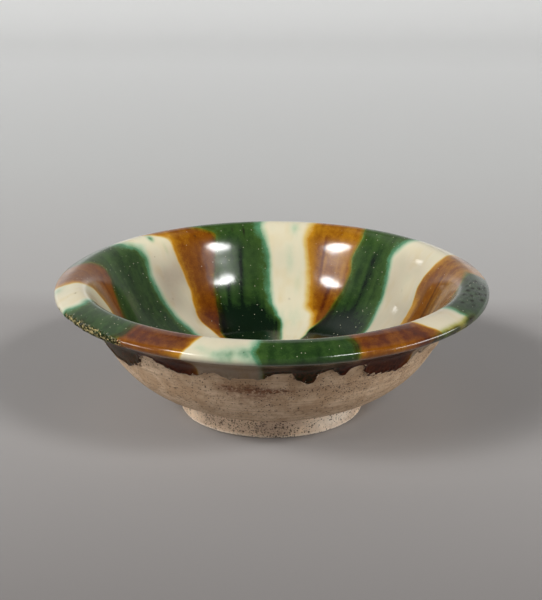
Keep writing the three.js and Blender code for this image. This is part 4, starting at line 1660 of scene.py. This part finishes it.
class SetStage(BowlOperator, Operator):
    """Set the bowl on a sweep of paper, with its lamps and its camera"""

    bl_idname = "sancai.set_stage"
    bl_label = "Set the stage"

    # Where the paper starts, turns up and ends, in metres from the middle of the bowl
    FRONT, FLAT_FROM, BACK = -2.6, -1.4, 1.0
    TURN_RADIUS, WALL_TOP, HALF_WIDTH = 0.5, 1.6, 2.2
    PAPER_ROUGHNESS = 0.85
    # How the paper's colour changes, by the way along it, and how far that slants to one side. It is painted
    # light and shade:
    # darkest in front of the bowl, held dark beside it where its shadow falls, lighter behind it and darker
    # again high up, and the slant makes the right side a little lighter.
    PAPER_SHADES = [
        (-0.21, "near_floor"), (-0.036, "floor"), (0.108, "floor"), (0.138, "rim_floor"),
        (0.42, "back_floor"), (0.84, "far_floor"), (1.55, "far_floor"), (1.85, "wall"), (2.60, "wall"),
    ]
    SHADES_FROM, SHADES_TO = -0.45, 3.05
    SHADES_SLANT = 0.06
    AIM = (0.0, 0.0, 0.04)
    # Each lamp's name, its azimuth and elevation from the aim, its width and height in degrees, and strength
    LAMPS = [
        ("right_box", 44, 42.3, 14, 6.4, "key_strength"),
        ("left_box", -54, 41.0, 15, 6.4, "key_strength"),
        ("right_fill", 46, 39.5, 20, 16, "fill_strength"),
        ("left_fill", -54, 39.5, 34, 18, "fill_strength"),
        ("right_glow", 43, 38.5, 24, 13, "glow_strength"),
        ("left_glow", -51, 38.0, 24, 13, "glow_strength"),
        ("left_far", -122, 23.5, 6, 3.6, "far_strength"),
        ("right_low", 82, 7, 44, 10, "side_strength"),
        ("left_low", -80, 7, 40, 8, "side_strength"),
    ]
    # The lamp over the paper: width, height, place and tilt
    BACK_SIZE, BACK_PLACE, BACK_TILT = (2.2, 0.4), (0, 0.55, 1.75), 76
    # Shades of the air, and their elevations from straight down at -1 to straight up at 1
    DIM, BRIGHT, DARK = (0.40, 0.39, 0.385), (1.0, 1.0, 1.0), (0.05, 0.05, 0.05)
    MIDDLE_AIR = [(0.0, DIM), (0.50, DIM), (0.74, DARK)]
    SIDE_AIR = [(0.50, DIM), (0.68, BRIGHT), (0.88, BRIGHT), (0.97, DARK)]
    # How far round the air's sides begin and are full, the right one at 0.6 at most, and the same behind
    LEFT_AIR, RIGHT_AIR, AIR_BEHIND = (-0.12, -0.42), (0.12, 0.42, 0.0, 0.6), (-0.10, 0.35)
    # Focal length in pixels of the 542 x 600 frame, and the camera's place round the foot
    FRAME_WIDTH = 542
    FOCAL_PIXELS = 1400
    CAMERA_DISTANCE = 0.56964
    CAMERA_ELEVATION = 22.787
    CAMERA_TILT = 18.635
    CAMERA_TURN = 0.036

    def execute(self, context):
        studio = context.scene.studio
        self.lay_paper(studio)
        for name, azimuth, elevation, width, height, strength in self.LAMPS:
            self.hang_lamp(studio, name, azimuth, elevation, width, height, getattr(studio, strength))
        place, tilt = self.BACK_PLACE, (math.radians(self.BACK_TILT), 0, 0)
        self.area_lamp("backdrop_box", "RECTANGLE", self.BACK_SIZE, studio.back_strength, place, tilt)
        self.fill_air(context, studio)
        self.place_camera(context)
        context.scene.view_settings.view_transform = "Standard"
        return {"FINISHED"}

    def lay_paper(self, studio):
        turn = np.linspace(-math.pi / 2, 0, 24)[1:]
        radius = self.TURN_RADIUS
        line = [(self.FRONT, 0.0)] + [(y, 0.0) for y in np.linspace(self.FLAT_FROM, self.BACK, 25)]
        line += [(self.BACK + radius * math.cos(a), radius + radius * math.sin(a)) for a in turn]
        line += [(self.BACK + radius, self.WALL_TOP)]
        points = np.array([(x, y, z) for y, z in line for x in (-self.HALF_WIDTH, self.HALF_WIDTH)]) / MM
        faces = [[2 * i, 2 * i + 1, 2 * i + 3, 2 * i + 2] for i in range(len(line) - 1)]
        material, nodes, shader = new_material("paper")
        x, y, z = nodes.split(nodes.here())
        along = nodes.remap(x * self.SHADES_SLANT + (y + z), self.SHADES_FROM, self.SHADES_TO, kind="LINEAR")
        stops = [
            ((place - self.SHADES_FROM) / (self.SHADES_TO - self.SHADES_FROM), getattr(studio, name))
            for place, name in self.PAPER_SHADES
        ]
        nodes.feed(shader, {"Base Color": nodes.ramp(along, stops), "Roughness": self.PAPER_ROUGHNESS})
        piece_from("paper_sweep", points, faces, material)

    def hang_lamp(self, studio, name, azimuth, elevation, width, height, strength):
        """Hangs a lamp round the bowl, as wide and as high as it looks from the bowl in degrees."""
        distance = studio.lamp_distance
        turn, rise = math.radians(azimuth), math.radians(elevation)
        away = [math.cos(rise) * math.sin(turn), -math.cos(rise) * math.cos(turn), math.sin(rise)]
        size = [2 * distance * math.tan(math.radians(angle / 2)) for angle in (width, height)]
        place = np.array(self.AIM) + np.array(away) * distance
        tilt = (math.radians(90 - elevation), 0, turn)
        holder = self.area_lamp(name, "ELLIPSE", size, strength, place, tilt)
        # The broad light is too faint and too soft to be seen in the glaze
        holder.visible_glossy = not name.endswith("fill")

    @staticmethod
    def area_lamp(name, shape, size, strength, place, tilt):
        lamp = bpy.data.lights.new(name, "AREA")
        lamp.shape = shape
        lamp.size, lamp.size_y = size
        lamp.energy = strength * math.pi * lamp.size * lamp.size_y
        holder = new_object(name, lamp)
        holder.location = place
        holder.rotation_euler = tilt
        return holder

    def fill_air(self, context, studio):
        """Light from all round: dim low down, and bright high up behind the bowl at both sides."""
        world = bpy.data.worlds.new("room")
        world.use_nodes = True
        nodes = Nodes(world.node_tree)
        x, y, z = nodes.split(nodes.add("ShaderNodeTexCoord", None, "Generated"))
        middle = nodes.ramp(z, self.MIDDLE_AIR)
        sides = nodes.ramp(z, self.SIDE_AIR)
        to_side = nodes.remap(x, *self.LEFT_AIR) + nodes.remap(x, *self.RIGHT_AIR)
        shade = nodes.mix(to_side * nodes.remap(y, *self.AIR_BEHIND), middle, sides)
        background = world.node_tree.nodes["Background"].inputs
        nodes.feed(background, {"Color": shade, "Strength": studio.air_strength})
        context.scene.world = world

    def place_camera(self, context):
        camera = bpy.data.cameras.new("camera")
        camera.sensor_fit = "HORIZONTAL"
        camera.sensor_width = 36
        camera.lens = self.FOCAL_PIXELS / self.FRAME_WIDTH * camera.sensor_width
        camera.clip_start = 0.01
        holder = new_object("camera", camera)
        rise = math.radians(self.CAMERA_ELEVATION)
        holder.location = (0, -self.CAMERA_DISTANCE * math.cos(rise), self.CAMERA_DISTANCE * math.sin(rise))
        holder.rotation_euler = (math.radians(90 - self.CAMERA_TILT), 0, math.radians(self.CAMERA_TURN))
        context.scene.camera = holder


class SancaiPanel(Panel):
    """The bowl's pieces, sizes and colours"""

    bl_idname = "VIEW3D_PT_sancai_bowl"
    bl_label = "Sancai Bowl"
    bl_space_type = "VIEW_3D"
    bl_region_type = "UI"
    bl_category = "Sancai Bowl"

    def draw(self, context):
        layout = self.layout
        for operator in (SetStage, ThrowBody, TurnFoot, LuteJoint, BrushSlip, PourPool):
            layout.operator(operator.bl_idname)
        for glaze in ("cream", "amber", "green"):
            layout.operator(BrushGlaze.bl_idname, text=f"Brush the {glaze} glaze").glaze = glaze
        for owner, group in GROUPS.items():
            box = layout.box()
            for name in group.__annotations__:
                box.prop(getattr(context.scene, owner), name)


GROUPS = {
    "bowl_sizes": BowlSizes,
    "glaze_colours": GlazeColours,
    "clay_colours": ClayColours,
    "studio": Studio,
}
CLASSES = [ThrowBody, BrushSlip, TurnFoot, LuteJoint, PourPool, BrushGlaze, SetStage, SancaiPanel]


def register():
    for name, group in GROUPS.items():
        bpy.utils.register_class(group)
        setattr(bpy.types.Scene, name, PointerProperty(type=group))
    for cls in CLASSES:
        bpy.utils.register_class(cls)


def unregister():
    for cls in reversed(CLASSES):
        bpy.utils.unregister_class(cls)
    for name, group in GROUPS.items():
        delattr(bpy.types.Scene, name)
        bpy.utils.unregister_class(group)


def main():
    register()
    bpy.ops.sancai.set_stage()
    bpy.ops.sancai.throw_body()
    bpy.ops.sancai.turn_foot()
    bpy.ops.sancai.lute_joint()
    bpy.ops.sancai.brush_slip()
    bpy.ops.sancai.pour_pool()
    for glaze in ("cream", "amber", "green"):
        bpy.ops.sancai.brush_glaze(glaze=glaze)


if __name__ == "__main__":
    main()
